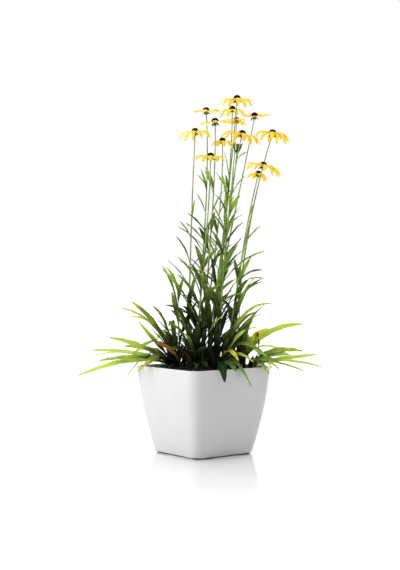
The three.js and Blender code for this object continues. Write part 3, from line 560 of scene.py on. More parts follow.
def stem_leaves(name, spec, seed):
    """The leaves that a packed stem holds, chosen ones first, as they were laid out."""
    curve = stem_curve(spec)
    ground = curve[0][2]
    rise = curve[-1][2] - ground

    def grown(turns, height, direction, length, width, steep, spread, twist):
        root = on_curve(curve, (height - ground) / rise)[0][0]
        angles = steep * DEGREE, spread * DEGREE
        options = (
            arc_leaf(root, (direction + turn) * DEGREE, length * shrink, width, *angles, twist)
            for shrink in LEAF_SHRINKS
            for turn in turns
        )
        return as_packed(name, options)

    leaves = [
        grown(CHOSEN_TURNS, *numbers, 0.7 if index % 2 else -0.7)
        for index, numbers in enumerate(spec["leaves"])
    ]
    dice = Dice(seed)
    direction = 360 * dice.roll()
    height = LEAF_FIRST + dice.roll(0, 10)
    leafy_share = spec.get("leafy", STEM_LEAFY_SHARE if "rays" in spec else SHOOT_LEAFY_SHARE)
    while height < leafy_share * rise:
        share = min(1, height / LEAF_TAPER)
        length = mixed(LEAF_LONGEST, LEAF_SHORTEST, share) * dice.roll(0.86, 1.14)
        width = mixed(LEAF_WIDEST, LEAF_NARROWEST, share) * dice.roll(0.85, 1.15)
        steep = dice.roll(14, 28)
        spread = 42 + dice.roll(0, 44) * (1 - 0.4 * share)
        twist = dice.roll(-0.7, 0.7)
        leaves.append(grown(LEAF_TURNS, ground + height, direction, length, width, steep, spread, twist))
        direction += GOLDEN_TURN
        height += LEAF_STEP + LEAF_STEP_GROWTH * height
    return [leaf for leaf in leaves if leaf]


def tuft_leaf(spec, index, lift, turn):
    """A leaf of a tuft's table, turned about its crown and lifted by as much as is given."""
    across, away, up, middle, width, roll = spec["leaves"][index]
    ground = ground_at(spec["foot"])
    x, y = across - ground[0], away - ground[1]
    c, s = math.cos(turn * DEGREE), math.sin(turn * DEGREE)
    arm = vector(x * c - y * s, x * s + y * c, 0)
    root = ground + 2.5 * unit(arm)
    root[2] = ground[2] + 1 + (CROWN_HEIGHT - 4) * index / len(spec["leaves"])
    tip = ground + arm
    tip[2] = up + lift
    return arch_leaf(root, tip, middle + lift, width, roll)


def hairs(bases, ways, dice):
    """Short stiff hairs: slim three-sided spikes from points on a stalk's skin, out along their ways."""
    sizes = bpy.context.scene.daisy_leaves
    points = []
    for _ in range(sizes.hairs_per_stem):
        at = int(dice.roll(0, len(bases) - 0.001))
        way = unit(ways[at] + 0.35 * dice.rolls(3, -1, 1))
        side = unit(np.cross(way, UP + 0.01))
        other = np.cross(way, side)
        for a in (0, 2.1, 4.2):
            corner = math.cos(a) * side + math.sin(a) * other
            points.append(bases[at] - 0.2 * way + HAIR_THICKNESS / 2 * corner)
        points.append(bases[at] + way * sizes.hair_length / MILLIMETRE * dice.roll(0.6, 1.1))
    spike = np.array([(0, 1, 3), (1, 2, 3), (2, 0, 3), (2, 1, 0)])
    faces = (np.arange(0, len(points), 4)[:, None, None] + spike).reshape(-1, 3).tolist()
    return part(planted(np.array(points)), faces, finish=HAIR)


def stalk(spec, dice):
    """The round ridged stalk, from below the soil up to the calyx that carries the head, with its hairs."""
    curve = stem_curve(spec)
    flowering = "rays" in spec
    rise = curve[-1][2] - curve[0][2]
    t = np.linspace(0, 1 - CALYX_DEPTH / rise if flowering else 1, STALK_STATIONS)
    radii = mixed(STEM_FOOT_RADIUS, STEM_NECK_RADIUS if flowering else 0.5, t)
    swell = 1 + 0.05 * np.sin(t * rise / 9 + dice.roll(0, 6.3))
    rings = rings_round(*on_curve(curve, t), radii * swell, STALK_SIDES, 0.05)
    rings = np.vstack([rings[:1] - UP * STALK_DEPTH, rings])
    if flowering:
        rises = -3.4, -2.6, -1.9, -1.2, -0.5, -0.1, 0
        cup = vector(0.28, 0.42, 0.7, 0.97, 1, 0.94, 0.82) * CALYX_RADIUS
        calyx = rings_up(curve[-1], leaning(*spec["nod"]), rises, cup, STALK_SIDES, 0.03)
        rings = np.vstack([rings, calyx])
    tall = np.repeat(np.linspace(0, 1, len(rings)), STALK_SIDES)
    marks = np.stack([0 * tall, tall, 1 + 0 * tall], axis=-1)
    green = skin(rings, planted, marks=marks, look=(0.5, 0, dice.roll()), finish=STALK)
    bases = rings[6:-1]
    ways = unit(bases - bases.mean(axis=1, keepdims=True))
    return [green, hairs(bases.reshape(-1, 3), ways.reshape(-1, 3), dice)]


def bracts(spec, dice):
    """The green bracts under a head, which spread and bend down below its rays."""
    sizes = bpy.context.scene.daisy_flowers
    top = stem_curve(spec)[-1]
    axis = leaning(*spec["nod"])
    right = unit(np.cross(axis, vector(0.3, 1, 0)))
    back = np.cross(axis, right)
    closed = spec["drop"] < -10
    made = []
    for i in range(sizes.bracts):
        angle = (i + dice.roll(-0.25, 0.25)) * TURN / sizes.bracts
        out = math.cos(angle) * right + math.sin(angle) * back
        length = sizes.bract_length / MILLIMETRE * dice.roll(0.75, 1.2) * (spec["spread"] / 70)
        root = top + out * CALYX_RADIUS * 0.62 - axis * (1.1 if i % 2 else 1.7)
        fall = -0.5 if closed else dice.roll(0.35, 1.0)
        tip = root + out * length * (0.5 if closed else 0.85) - axis * length * fall
        control = root + out * length * 0.55 + axis * (0 if closed else -0.05 * length)
        leaf = SimpleNamespace(
            at=lambda t, path=(root, control, tip): on_curve(path, t),
            side=unit(np.cross(out, axis)),
            length=length,
            width=2.6 * dice.roll(0.8, 1.1),
            share=lambda t: leaf_width(t, 0.7, 0.3),
            roll=lambda t: 0 * t,
        )
        made.append(blade(leaf, (dice.roll(0.1, 0.6), 0, dice.roll()), dice, 7, 0.3, BRACT))
    return made


def leaf_tone_and_painted_light(leaf, dice):
    """How light a stem's leaf is: a random tone, with painted shade in the crowded middle and low down, and
    painted light higher up and further out.
    """
    x, y, z = leaf.at(vector(0.6))[0][0]
    light = 0.26 * smooth(190, 430, z) + 0.3 * smooth(60, 140, math.hypot(x, y))
    return np.clip(0.3 + light + dice.roll(-0.5, 0.5), 0, 1)


def grown_stem(solid, name, spec, seed):
    """One stem as it grew: its stalk, leaves, hairs, calyx and bracts, in place of its solid."""
    dice = Dice(300 + seed)
    parts = stalk(spec, dice)
    for leaf in stem_leaves(solid, spec, seed):
        look = (leaf_tone_and_painted_light(leaf, dice), dice.roll(0, 0.25) ** 2, dice.roll())
        parts.append(blade(leaf, look, dice, 18 if leaf.length > LONG_LEAF else 13, finish=GREEN))
    if "rays" in spec:
        parts += bracts(spec, dice)
    finishes = [stalk_skin(), leaf_finish("Stem leaf blade"), leaf_finish("Bract green"), stem_hair()]
    make_piece(name, parts, finishes, [solid])


def basal_tuft(spec):
    """One tuft of long arching leaves, with the short woody crown that they spring from."""
    dice = Dice(500 + TUFTS.index(spec))
    rises = -STALK_DEPTH, -2, 1, 3, 5, 7, 8.6
    radii = CROWN_RADIUS * vector(0.8, 1, 1, 0.94, 0.82, 0.6, 0.3) * dice.rolls(7, 0.93, 1.05)
    crown = rings_up(ground_at(spec["foot"]), UP, rises, radii, 14, 0.07)
    parts = [skin(crown, planted, finish=STALK)]
    for index in range(len(spec["leaves"])):
        options = (tuft_leaf(spec, index, lift, turn) for lift in TUFT_LIFTS for turn in TUFT_TURNS)
        leaf = as_packed(spec["name"], options)
        if leaf:
            x, y, _ = leaf.at(vector(1))[0][0]
            # Painted light: leaves reaching out sideways and far from the middle are lighter, those in the
            # middle darker as painted shade; the rest of the tone is random.
            reach = 0.5 * smooth(40, 150, abs(x)) + 0.5 * smooth(60, 150, math.hypot(x, y))
            tone = np.clip(0.22 + 0.72 * reach + dice.roll(-0.55, 0.5), 0, 1)
            yellowing = YELLOWING.get((spec["name"], index), dice.roll(0, 0.3) ** 2)
            parts.append(blade(leaf, (tone, yellowing, dice.roll()), dice, 24, finish=GREEN))
    finishes = [stalk_skin(), leaf_finish("Basal leaf blade")]
    make_piece(spec["name"].replace("tuft", "basal_tuft"), parts, finishes, [spec["name"]])


def dead_leaf(spec, finish, crumple, dice):
    """One dead leaf, curled and crumpled, on the stub that it sprang from."""
    across, away, up, middle, width, roll = spec["leaf"]
    root = ground_at(spec["foot"])
    leaf = arch_leaf(root, vector(across, away, up), middle, width, roll)
    if spec["name"] == "dry_stalk":
        leaf.share = lambda t: mixed(0.24, leaf_width(t, 0.24, 0.72), smooth(0.4, 0.6, t))
    stub = rings_up(root, UP, (-STALK_DEPTH, 0, 2, 3), vector(1, 1, 0.9, 0.6) * 1.8, 10, 0.06)
    parts = [
        skin(stub, planted, look=(0.2, 0, 0.5)),
        blade(leaf, (dice.roll(0.3, 0.8), 1, dice.roll()), dice, 26, crumple),
    ]
    make_piece(spec["name"] + "_fine", parts, [finish], [spec["name"]])


def old_leaf_bases():
    """The sheaths of last year's leaves, which stand in the soil around the crowns and the stalks, near-black
    as painted shade in the foot of the clump.
    """
    dice = Dice(88)
    feet = [spec["foot"] for spec in [*FLOWERS, BUD, *SHOOTS, *TUFTS]]
    parts = []
    for _ in range(bpy.context.scene.daisy_leaves.old_bases):
        x, y = feet[int(dice.roll(0, len(feet)))]
        turn, away = dice.roll(0, TURN), dice.roll(3, 15)
        root = ground_at((x + away * math.cos(turn), y + away * math.sin(turn))) - 3 * UP
        angles = dice.roll(-8, 18) * DEGREE, dice.roll(26, 60) * DEGREE
        length, width = dice.roll(24, 56), dice.roll(4, 8)
        leaf = arc_leaf(root, dice.roll(0, TURN), length, width, *angles, dice.roll(-0.8, 0.8))
        parts.append(blade(leaf, (0, 0, dice.roll()), dice, 8, 2))
    make_piece("old_leaf_bases", parts, [dead_finish("Old sheath")])


# Flower heads


def on_head(spec):
    """What brings points of a head's own axes, with up along its nod, into the frame."""
    turn = np.array(Vector(UP).rotation_difference(Vector(leaning(*spec["nod"]))).to_matrix())
    top = stem_curve(spec)[-1]
    return lambda points: planted(points @ turn.T + top)


def ray_path(t, reach, arch, drop):
    """Where a ray's rib runs and how it slopes: out, up and slope at shares t of its length. It springs flat
    from the head, arches up two thirds of the way out, and bends down to its tip."""
    bow = 0.55 * (reach - RAY_ROOT)
    out = RAY_ROOT + 2 * t * (1 - t) * bow + t * t * (reach - RAY_ROOT)
    up = RAY_ARCH * t * t * (1 - t) * arch - t * t * drop
    outward = 2 * (1 - 2 * t) * bow + 2 * t * (reach - RAY_ROOT)
    upward = RAY_ARCH * (2 * t - 3 * t * t) * arch - 2 * t * drop
    return out, up, np.arctan2(upward, outward)


def ray_floret(spec, angle, reach, fall, twist, width, dice, look):
    """One strap-shaped ray: a thin crowned blade with two grooves and a notched blunt tip."""
    sizes = bpy.context.scene.daisy_flowers
    bite = sizes.ray_notch * dice.roll(0.6, 1.3) * RAY_NOTCHES
    even = np.linspace(0, 1, 17)[:, None]
    t = even * (1 - bite * even**9)
    out, up, slope = ray_path(t, reach, spec["arch"], fall)
    share = np.where(t < 0.5, leaf_width(t, 0.3, 0.5), 1 - 0.55 * (np.maximum(t - 0.5, 0) / 0.5) ** 2.6)
    half = np.minimum(width * share / 2, RAY_ROOM * TURN / spec["rays"] * out)
    crowned = (0.24 * (1 - RAY_COLUMNS**2) - 0.12) * half
    grooved = crowned - sizes.ray_groove / MILLIMETRE * RAY_GROOVES * np.sin(math.pi * np.minimum(t, 0.97))
    curl = sizes.ray_curl * dice.roll(-1, 1) * half * np.sin(TURN * t + dice.roll(0, 6.3)) * RAY_COLUMNS**2
    thickness = sizes.ray_thickness / MILLIMETRE * (1 - 0.5 * RAY_COLUMNS**2)
    lean = twist * t
    bend = dice.roll(-0.06, 0.06) * reach * t**2
    sides = []
    for columns, rise in ((RAY_COLUMNS, -thickness / 2), (-RAY_COLUMNS, thickness / 2)):
        heights = grooved + curl + rise
        sideways = half * columns * np.cos(lean) - heights * np.sin(lean) + bend
        upright = half * columns * np.sin(lean) + heights * np.cos(lean)
        outward = out - np.sin(slope) * upright
        x = outward * math.cos(angle) - sideways * math.sin(angle)
        y = outward * math.sin(angle) + sideways * math.cos(angle)
        z = SEAT_GAP + RAY_THICKNESS + up + np.cos(slope) * upright
        sides.append(np.stack([x, y, z], axis=-1))
    rings = np.concatenate(sides, axis=1)
    return skin(rings, on_head(spec), flat=True, marks=marks_on(RAY_COLUMNS, even), look=look)


def ray_ring(spec, number):
    """All the rays of one head, laid out as its solid is, round the hub that joins them."""
    dice = Dice(101 + number)
    fine = Dice(700 + number)
    parts = []
    for i in range(spec["rays"]):
        angle = (i + dice.roll(-0.08, 0.08)) * TURN / spec["rays"]
        reach = spec["spread"] / 2 * dice.roll(0.9, 1.06)
        fall = spec["drop"] + spec["uneven"] * (dice.roll() - 0.5)
        twist = dice.roll(-0.25, 0.25)
        width = RAY_WIDEST * dice.roll(0.85, 1.15)
        look = (fine.roll(), 0, fine.roll())
        parts.append(ray_floret(spec, angle, reach, fall, twist, width, fine, look))
    rises = SEAT_GAP + RAY_THICKNESS * vector(0.1, 0.5, 1, 1.4)
    hub = rings_up(0, UP, rises, (3.2, 4.3, 4.1, 2.6), 24, 0.02)
    parts.append(skin(hub, on_head(spec), look=(0.2, 0, 0.5)))
    if spec is BUD:
        parts += disc_florets(spec, 0.45, fine, 1)
        make_piece("bud_rays", parts, [ray_finish("Bud ray"), disc_floret()], [f"rays_{number}"])
    else:
        make_piece(f"ray_florets_{number}", parts, [ray_finish("Golden ray")], [f"rays_{number}"])


def disc_florets(spec, size, dice, finish=0):
    """The domed cone: a solid core set with small florets in a golden spiral."""
    sizes = bpy.context.scene.daisy_flowers
    place = on_head(spec)
    radius, tall = CONE_RADIUS * size, CONE_HEIGHT * size
    middle = 3 * SEAT_GAP + 1.5 * RAY_THICKNESS + 0.2 * tall
    low = -0.25
    floret = sizes.floret_length / MILLIMETRE * size**0.5

    def dome(sines, inset):
        return (radius - inset) * np.sqrt(1 - sines**2), middle + (0.8 * tall - inset) * sines

    reach, rise = dome(vector(low, -0.1, 0.1, 0.3, 0.5, 0.68, 0.82, 0.92, 0.98), 0.75 * floret)
    parts = [skin(rings_up(0, UP, rise, reach, 24), place, look=(0, 0, 0), finish=finish)]
    count = max(30, int(sizes.florets * size**2))
    for k in range(count):
        sine = low + (0.995 - low) * (k + 0.5) / count
        turn = k * GOLDEN_TURN * DEGREE
        reach, rise = dome(sine, 0)
        x, y = math.cos(turn) * reach, math.sin(turn) * reach
        way = unit(vector(x, y, (rise - middle) * 1.15))
        tip = vector(x, y, rise) - way * dice.roll(0, 0.25)
        way = unit(way + 0.12 * dice.rolls(3, -1, 1))
        depths = vector(1, 0.55, 0.22, 0.06) * floret
        radii = vector(0.38, 0.5, 0.56, 0.36) * floret * 0.5 * dice.roll(0.85, 1.15)
        along = np.append(np.repeat([0, 0.5, 0.85, 0.95], 6), 1)
        marks = np.stack([0 * along, along, 0 * along], axis=-1)
        look = ((sine - low) / (1 - low), 0, dice.roll())
        rings = rings_up(tip, way, -depths, radii, 6, 0.08)
        parts.append(skin(rings, place, tip, marks=marks, look=look, finish=finish))
    return parts


def cone(spec, number):
    parts = disc_florets(spec, 0.72 + spec["spread"] / 260, Dice(900 + number))
    make_piece(f"disc_florets_{number}", parts, [disc_floret()], [f"cone_{number}"], 40)


# Tub and soil


def rounded_square(half, corner, z, steps=12):
    """A loop round a square with rounded corners."""
    quarters = np.repeat(np.arange(4), steps + 1) * 90
    angles = (quarters + np.tile(np.arange(steps + 1), 4) * 90 / steps) * DEGREE
    middles = (quarters + 45) * DEGREE
    x = np.copysign(half - corner, np.cos(middles)) + corner * np.cos(angles)
    y = np.copysign(half - corner, np.sin(middles)) + corner * np.sin(angles)
    return np.stack([x, y, np.full(len(x), float(z))], axis=-1)


def tub_half(z):
    """Half the tub's outer side at a height: it widens upwards, with a slight swell."""
    t = (z - FOOT_HEIGHT) / (TUB_HEIGHT - FOOT_HEIGHT)
    base = TUB_BASE_SIDE / 2
    return base + (TUB_TOP_SIDE / 2 - base) * t + TUB_BULGE * 4 * t * (1 - t)


def tub_shell():
    """The thin moulded wall: outside, rounded rim, inside and floor, with a shallow recess underneath."""
    recess = 12
    corner = TUB_CORNER - recess
    loops = [
        rounded_square(tub_half(FOOT_HEIGHT) - recess - 1, corner, FOOT_HEIGHT + 0.8),
        rounded_square(tub_half(FOOT_HEIGHT) - recess, corner, FOOT_HEIGHT),
    ]
    angles = [step * 18 * DEGREE for step in range(6)]
    arc = [(RIM_ROUND * math.sin(a), RIM_ROUND * (1 - math.cos(a))) for a in angles]
    shoulder = TUB_HEIGHT - RIM_ROUND
    profile = [(FOOT_HEIGHT + rise, RIM_ROUND - inset) for inset, rise in arc]
    profile += [(z, 0) for z in np.linspace(FOOT_HEIGHT + RIM_ROUND, shoulder, 26)[1:]]
    profile += [(shoulder + rise, inset) for rise, inset in arc[1:]]
    profile += [(shoulder + rise, TUB_WALL - inset) for rise, inset in arc[::-1]]
    profile += [(z, TUB_WALL) for z in np.linspace(shoulder, FOOT_HEIGHT + TUB_FLOOR, 14)[1:]]
    loops += [rounded_square(tub_half(z) - inset, TUB_CORNER - inset, z) for z, inset in profile]
    make_piece("tub_shell", [skin(loops, framed)], [white_glaze()], ["tub"], 60)


def foot_pad(corner, quarter):
    """One soft pad under the tub, with a rounded edge and a shallow ring pressed into its underside."""
    angle = (45 + 90 * quarter) * DEGREE
    reach = TUB_BASE_SIDE / 2 - FOOT_INSET
    centre = vector(math.copysign(reach, math.cos(angle)), math.copysign(reach, math.sin(angle)), 0)
    top = FOOT_HEIGHT - SEAT_GAP
    radii = FOOT_RADIUS + vector(-3.4, -3, -1.8, -1.4, -1, -0.65, -0.15, 0, -0.1, -0.5)
    rises = 0.35, 0.35, 0, 0, 0.12, 0.4, top - 0.5, top - 0.3, top - 0.1, top
    pad = skin(rings_up(centre, UP, rises, radii, 40), framed)
    make_piece(f"pad_{corner}", [pad], [soft_rubber()], [f"foot_{corner}"], 60)


def soil_bed():
    """The soil that fills the tub, with a crumbly mounded top."""
    inset = TUB_WALL + SEAT_GAP
    rim = TUB_HEIGHT - SOIL_BELOW_RIM
    base = FOOT_HEIGHT + TUB_FLOOR + SEAT_GAP
    rises = np.linspace(base, rim, 12)
    loops = [rounded_square(tub_half(z) - inset, TUB_CORNER - inset, z, 24) for z in rises]
    for share in np.arange(1, 26) / 26:
        half, corner = vector(tub_half(rim) - inset, TUB_CORNER - inset) * (1 - share)
        loop = rounded_square(half, corner, 0, 24)
        x, y = loop[:, 0], loop[:, 1]
        crumble = np.sin(x * 0.9 + y * 0.4) * np.cos(y * 0.8 - x * 0.3)
        crumble += 0.6 * np.sin(x * 1.9) * np.sin(y * 2.1)
        loop[:, 2] = soil_height(share, x, y) - 0.8 + 0.5 * crumble * smooth(0, 0.15, share)
        loops.append(loop)
    bed = skin(loops, framed, vector(0, 0, soil_height(1, 0, 0)))
    make_piece("soil_bed", [bed], [potting_soil()], ["soil"])


def crumb_rings(at, size, dice):
    """The rings of an irregular crumb: a small rounded solid with its corners pulled about."""
    around = np.arange(CRUMB_SIDES) * TURN / CRUMB_SIDES
    rings = []
    for rise, reach in ((-0.55, 0.6), (-0.15, 1), (0.3, 0.85), (0.62, 0.4)):
        out = size * reach * dice.rolls(CRUMB_SIDES, 0.7, 1.25)
        height = size * (rise + 0.15 * dice.rolls(CRUMB_SIDES, -1, 1))
        rings.append(at + np.stack([out * np.cos(around), out * np.sin(around), height], axis=-1))
    return rings


def soil_crumbs():
    """Loose crumbs and a few grains of pale grit, lying on the soil."""
    sizes = bpy.context.scene.daisy_soil
    dice = Dice(77)
    inner = TUB_TOP_SIDE / 2 - TUB_WALL - 4
    corner = 16
    parts = []
    for _ in range(sizes.crumbs):
        x, y = dice.roll(-inner, inner), dice.roll(-inner, inner)
        if math.hypot(max(0, abs(x) - inner + corner), max(0, abs(y) - inner + corner)) > corner:
            continue
        size = sizes.crumb_size / MILLIMETRE * (0.35 + dice.roll() ** 2)
        at = vector(x, y, soil_top_at(x, y) - 0.5 + 0.2 * size)
        rings = crumb_rings(at, size, dice)
        grit = 1 if dice.roll() < sizes.grit_share and size < 2.4 else 0
        look = (dice.roll(), 0, dice.roll())
        parts.append(skin(rings, framed, at + 0.8 * size * UP, look=look, finish=grit))
    make_piece("soil_crumbs", parts, [potting_soil(), pale_grit()], sharp=30)


# Effects: node groups that several finishes share


class Flow:
    """A number or colour that varies over a surface: a node's output, with plain arithmetic as more nodes."""

    def __init__(self, socket):
        self.socket = socket
        self.tree = socket.id_data

    def math(self, operation, other=0.0, clamp=False):
        made = node(self.tree, "Math", {0: self, 1: other}, operation=operation, use_clamp=clamp)
        return Flow(made.outputs[0])

    def __add__(self, other):
        return self.math("ADD", other)

    def __sub__(self, other):
        return self.math("SUBTRACT", other)

    def __mul__(self, other):
        return self.math("MULTIPLY", other)

    def __truediv__(self, other):
        return self.math("DIVIDE", other)

    def __abs__(self):
        return self.math("ABSOLUTE")

    def stepped(self, low, high, to_low=0.0, to_high=1.0):
        """Its place between low and high, brought smoothly to the range from to_low to to_high."""
        ends = {"Value": self, "From Min": low, "From Max": high, "To Min": to_low, "To Max": to_high}
        return Flow(node(self.tree, "MapRange", ends, interpolation_type="SMOOTHSTEP").outputs[0])

    def split(self):
        return [Flow(socket) for socket in node(self.tree, "SeparateXYZ", {0: self}).outputs]


def feed(made, inputs):
    """Links each input of a node, by name or place, to a flow, or sets it to a value."""
    for key, value in dict(inputs).items():
        socket = made.inputs[key]
        if isinstance(value, Flow):
            made.id_data.links.new(value.socket, socket)
        else:
            socket.default_value = (*value, 1) if socket.type == "RGBA" else value


def node(tree, kind, inputs=(), **settings):
    """A new node with its settings and its inputs."""
    made = tree.nodes.new("ShaderNode" + kind)
    for name, value in settings.items():
        setattr(made, name, value)
    feed(made, inputs)
    return made


def blend(share, low, high):
    """One colour shading into another as the share says."""
    tree = next(flow.tree for flow in (share, low) if isinstance(flow, Flow))
    inputs = {0: share, 6: low, 7: high}
    return Flow(node(tree, "Mix", inputs, data_type="RGBA", clamp_factor=True).outputs[2])


def noise(where, scale, detail, roughness=0.5):
    """Noise from 0 to 1 over places, of so many lumps to one of their units."""
    inputs = {"Vector": where, "Scale": scale, "Detail": detail, "Roughness": roughness}
    return Flow(node(where.tree, "TexNoise", inputs).outputs[0])


def bumped(height, distance):
    """The normal of a face whose relief is so many metres deep."""
    inputs = {"Height": height, "Distance": distance, "Strength": 1.0}
    return Flow(node(height.tree, "Bump", inputs).outputs[0])


def stored(tree, attribute):
    """The three numbers of a point attribute."""
    made = node(tree, "Attribute", attribute_type="GEOMETRY", attribute_name=attribute)
    return Flow(made.outputs["Vector"]).split()


def place_of(tree):
    """Where a point lies, in the frame's axes and in metres."""
    return Flow(node(tree, "TexCoord").outputs["Object"])


def effect(name, *labels):
    """Turns a function of a tree and one flow for each label, which returns flows by name, into one that sets
    its node group into a tree with values of its own. The group is built once."""

    def grouped(fill):
        group = bpy.data.node_groups.new(name, "ShaderNodeTree")
        for label in labels:
            group.interface.new_socket(name=label, in_out="INPUT", socket_type="NodeSocketFloat")
        given = group.nodes.new("NodeGroupInput").outputs
        outputs = fill(group, *(Flow(given[label]) for label in labels))
        for label in outputs:
            group.interface.new_socket(name=label, in_out="OUTPUT", socket_type="NodeSocketFloat")
        feed(group.nodes.new("NodeGroupOutput"), outputs)
        return group

    def declare(fill):
        def place(tree, *values):
            group = bpy.data.node_groups.get(name) or grouped(fill)
            made = node(tree, "Group", zip(labels, values), node_tree=group)
            return [Flow(socket) for socket in made.outputs]

        return place

    return declare


@effect("Mottling", "Patches per metre", "Grains per metre")
def mottling(tree, patches, grains):
    """Soft patches and fine grain, in the frame's own space."""
    where = place_of(tree)
    return {
        "Patches": noise(where, patches, 3, 0.6).stepped(0.35, 0.68),
        "Grain": noise(where, grains, 4, 0.65).stepped(0.3, 0.72),
    }


@effect("Blade veins", "Rib width", "Long veins", "Cross veins")
def blade_veins(tree, rib_width, long_veins, cross_veins):
    """Veins of a blade, read from where each point lies on its leaf: a pale rib, veins that run along the
    blade, and fine cross veins that slant off the rib."""
    across, along, _ = stored(tree, "blade")
    out = abs(across)
    rib = (out / (rib_width - along * 0.6 * rib_width)).stepped(1.6, 0.5)
    lines = (out * long_veins * math.pi).math("COSINE").stepped(0.72, 1)
    slant = along * cross_veins - out * 4
    rows = (slant * math.pi).math("COSINE").stepped(0.8, 1)
    veins = lines.math("MAXIMUM", rows * 0.45)
    return {"Rib": rib, "Veins": veins, "Height": rib * -1 - veins * 0.5}


@effect("Settled dust", "On top", "Splashes", "Splash height")
def settled_dust(tree, on_top, splashes, splash_height):
    """Where dust settles: on faces that look up, in uneven patches, and near the floor."""
    facing = Flow(node(tree, "NewGeometry").outputs["Normal"]).split()[2]
    place = place_of(tree)
    splashed = place.split()[2].stepped(splash_height, 0) * splashes
    laid = facing.stepped(0.3, 0.95) * on_top + splashed
    return {"Dust": laid * noise(place, 45, 5).stepped(0.4, 0.7)}


@effect("Painted shade of the clump", "Top", "Bottom", "Reach", "Inner")
def painted_clump_shade(tree, top, bottom, reach, inner):
    """Painted shade: how deep a point lies in the crowded foot of the clump, where shade falls and the
    finishes are darkened nearly to black.
    """
    x, y, z = place_of(tree).split()
    out = (x * x + y * y).math("SQRT")
    return {"Shade": z.stepped(top, bottom) * out.stepped(reach, inner)}


# Finishes


def material(describe):
    """Turns a function of a tree, which returns its shader's inputs, into one that gives the material. It is
    made once, and named as it is asked for, or else like the function. "Through" is the colour and the share
    of the light that comes through a thin blade."""

    def give(*look):
        name = look[0] if look else describe.__name__.replace("_", " ").capitalize()
        if name in bpy.data.materials:
            return bpy.data.materials[name]
        made = bpy.data.materials.new(name)
        made.use_nodes = True
        tree = made.node_tree
        shader = tree.nodes["Principled BSDF"]
        inputs = describe(tree, *look)
        through, share = inputs.pop("Through", (None, 0))
        feed(shader, inputs)
        if through:
            glow = node(tree, "BsdfTranslucent", {"Color": through, "Normal": inputs["Normal"]}).outputs[0]
            shown = node(tree, "MixShader", {0: share, 1: Flow(shader.outputs[0]), 2: Flow(glow)})
            feed(tree.nodes["Material Output"], {"Surface": Flow(shown.outputs[0])})
        return made

    return give


@material
def leaf_finish(tree, name):
    """A satin leaf: dark or light by its tone, which is partly painted light and shade by where the leaf
    stands, with painted shade towards its root, a pale rib and veins, a greyer underside, yellow where it has
    begun to die back, and painted shade in the foot of the clump."""
    sizes = bpy.context.scene.daisy_leaves
    stem, basal = (sizes.stem_dark, sizes.stem_light), (sizes.basal_dark, sizes.basal_light)
    bract = (0.03, 0.07, 0.012), (0.12, 0.22, 0.03)
    dark, light, through, ribs, depth = {
        "Stem leaf blade": (*stem, (0.72, 0.85, 0.2), (0.1, 2, 16), (0.36, 0.2, 0.115, 0.05)),
        "Basal leaf blade": (*basal, (0.9, 0.97, 0.28), (0.08, 3, 26), (0.3, 0.19, 0.125, 0.07)),
        "Bract green": (*bract, (0.2, 0.35, 0.05), (0.16, 2, 3), (0.3, 0.2, 0.1, 0.03)),
    }[name]
    dark, light = vector(*dark), vector(*light)
    across, along, upper = stored(tree, "blade")
    tone, yellowing, own = stored(tree, "look")
    rib, veins, height = blade_veins(tree, *ribs)
    patches, grain = mottling(tree, 70, 1400)
    painted_shade = painted_clump_shade(tree, *depth)[0] * sizes.deep_shade
    # Painted shade: each blade is darker towards its root and lighter towards its tip.
    grown = tone * along.stepped(0, 0.85, 0.45, 1.15)
    lightness = grown.math("ADD", (patches - 0.5) * 0.3, clamp=True)
    green = blend(lightness, dark, blend(own * 0.8, light, light * (0.6, 0.88, 1.4)))
    pale = blend(0.55, green, (0.66, 0.78, 0.3))
    marked = blend(veins * 0.22, blend(rib * 0.75, green, pale), pale)
    marked = blend(grain * 0.18, marked, 0.8 * dark)
    faced = blend(upper, blend(0.3, marked, (0.24, 0.36, 0.1)), marked)
    spread = along * 0.4 + abs(across) * 0.25 + patches * 0.55
    faced = blend((spread + yellowing).stepped(0.95, 1.3), faced, sizes.yellow)
    browned = (along + own * 0.04 + grain * 0.02).stepped(0.985, 1.03)
    faced = blend(browned, faced, (0.16, 0.075, 0.02))
    # Painted shade: in the foot of the clump the colour and the light through the blade are darkened nearly
    # to black.
    faced = blend(painted_shade, faced, 0.12 * dark)
    glowing = blend(painted_shade, blend(lightness * 0.8, faced, through), 0.2 * dark)
    return {
        "Base Color": faced,
        "Roughness": grain.stepped(0, 1, 0.46, 0.64),
        "Specular IOR Level": 0.12,
        "Normal": bumped(height + grain * 0.04, 0.00022),
        "Through": (glowing, sizes.light_through),
    }


@material
def stalk_skin(tree):
    """Ribbed green stalk, flushed brown-red low down, with painted shade darkening it nearly to black in the
    foot of the clump.
    """
    along = stored(tree, "blade")[1]
    patches, grain = mottling(tree, 40, 2200)
    green = blend(patches, (0.17, 0.28, 0.05), (0.42, 0.55, 0.15))
    streaked = blend(grain * 0.4, green, (0.05, 0.1, 0.025))
    flushed = blend(along.stepped(0.3, 0) * 0.45, streaked, (0.09, 0.045, 0.03))
    # Painted shade: the stalk is darkened nearly to black in the foot of the clump.
    painted_shade = painted_clump_shade(tree, 0.36, 0.19, 0.12, 0.06)[0]
    return {
        "Base Color": blend(painted_shade * 0.9, flushed, (0.006, 0.008, 0.003)),
        "Roughness": grain.stepped(0, 1, 0.48, 0.66),
        "Specular IOR Level": 0.25,
        "Normal": bumped(grain, 0.00005),
    }


@material
def stem_hair(tree):
    patches = mottling(tree, 90, 3000)[0]
    return {"Base Color": blend(patches, (0.42, 0.46, 0.3), (0.62, 0.64, 0.5)), "Roughness": 0.5}


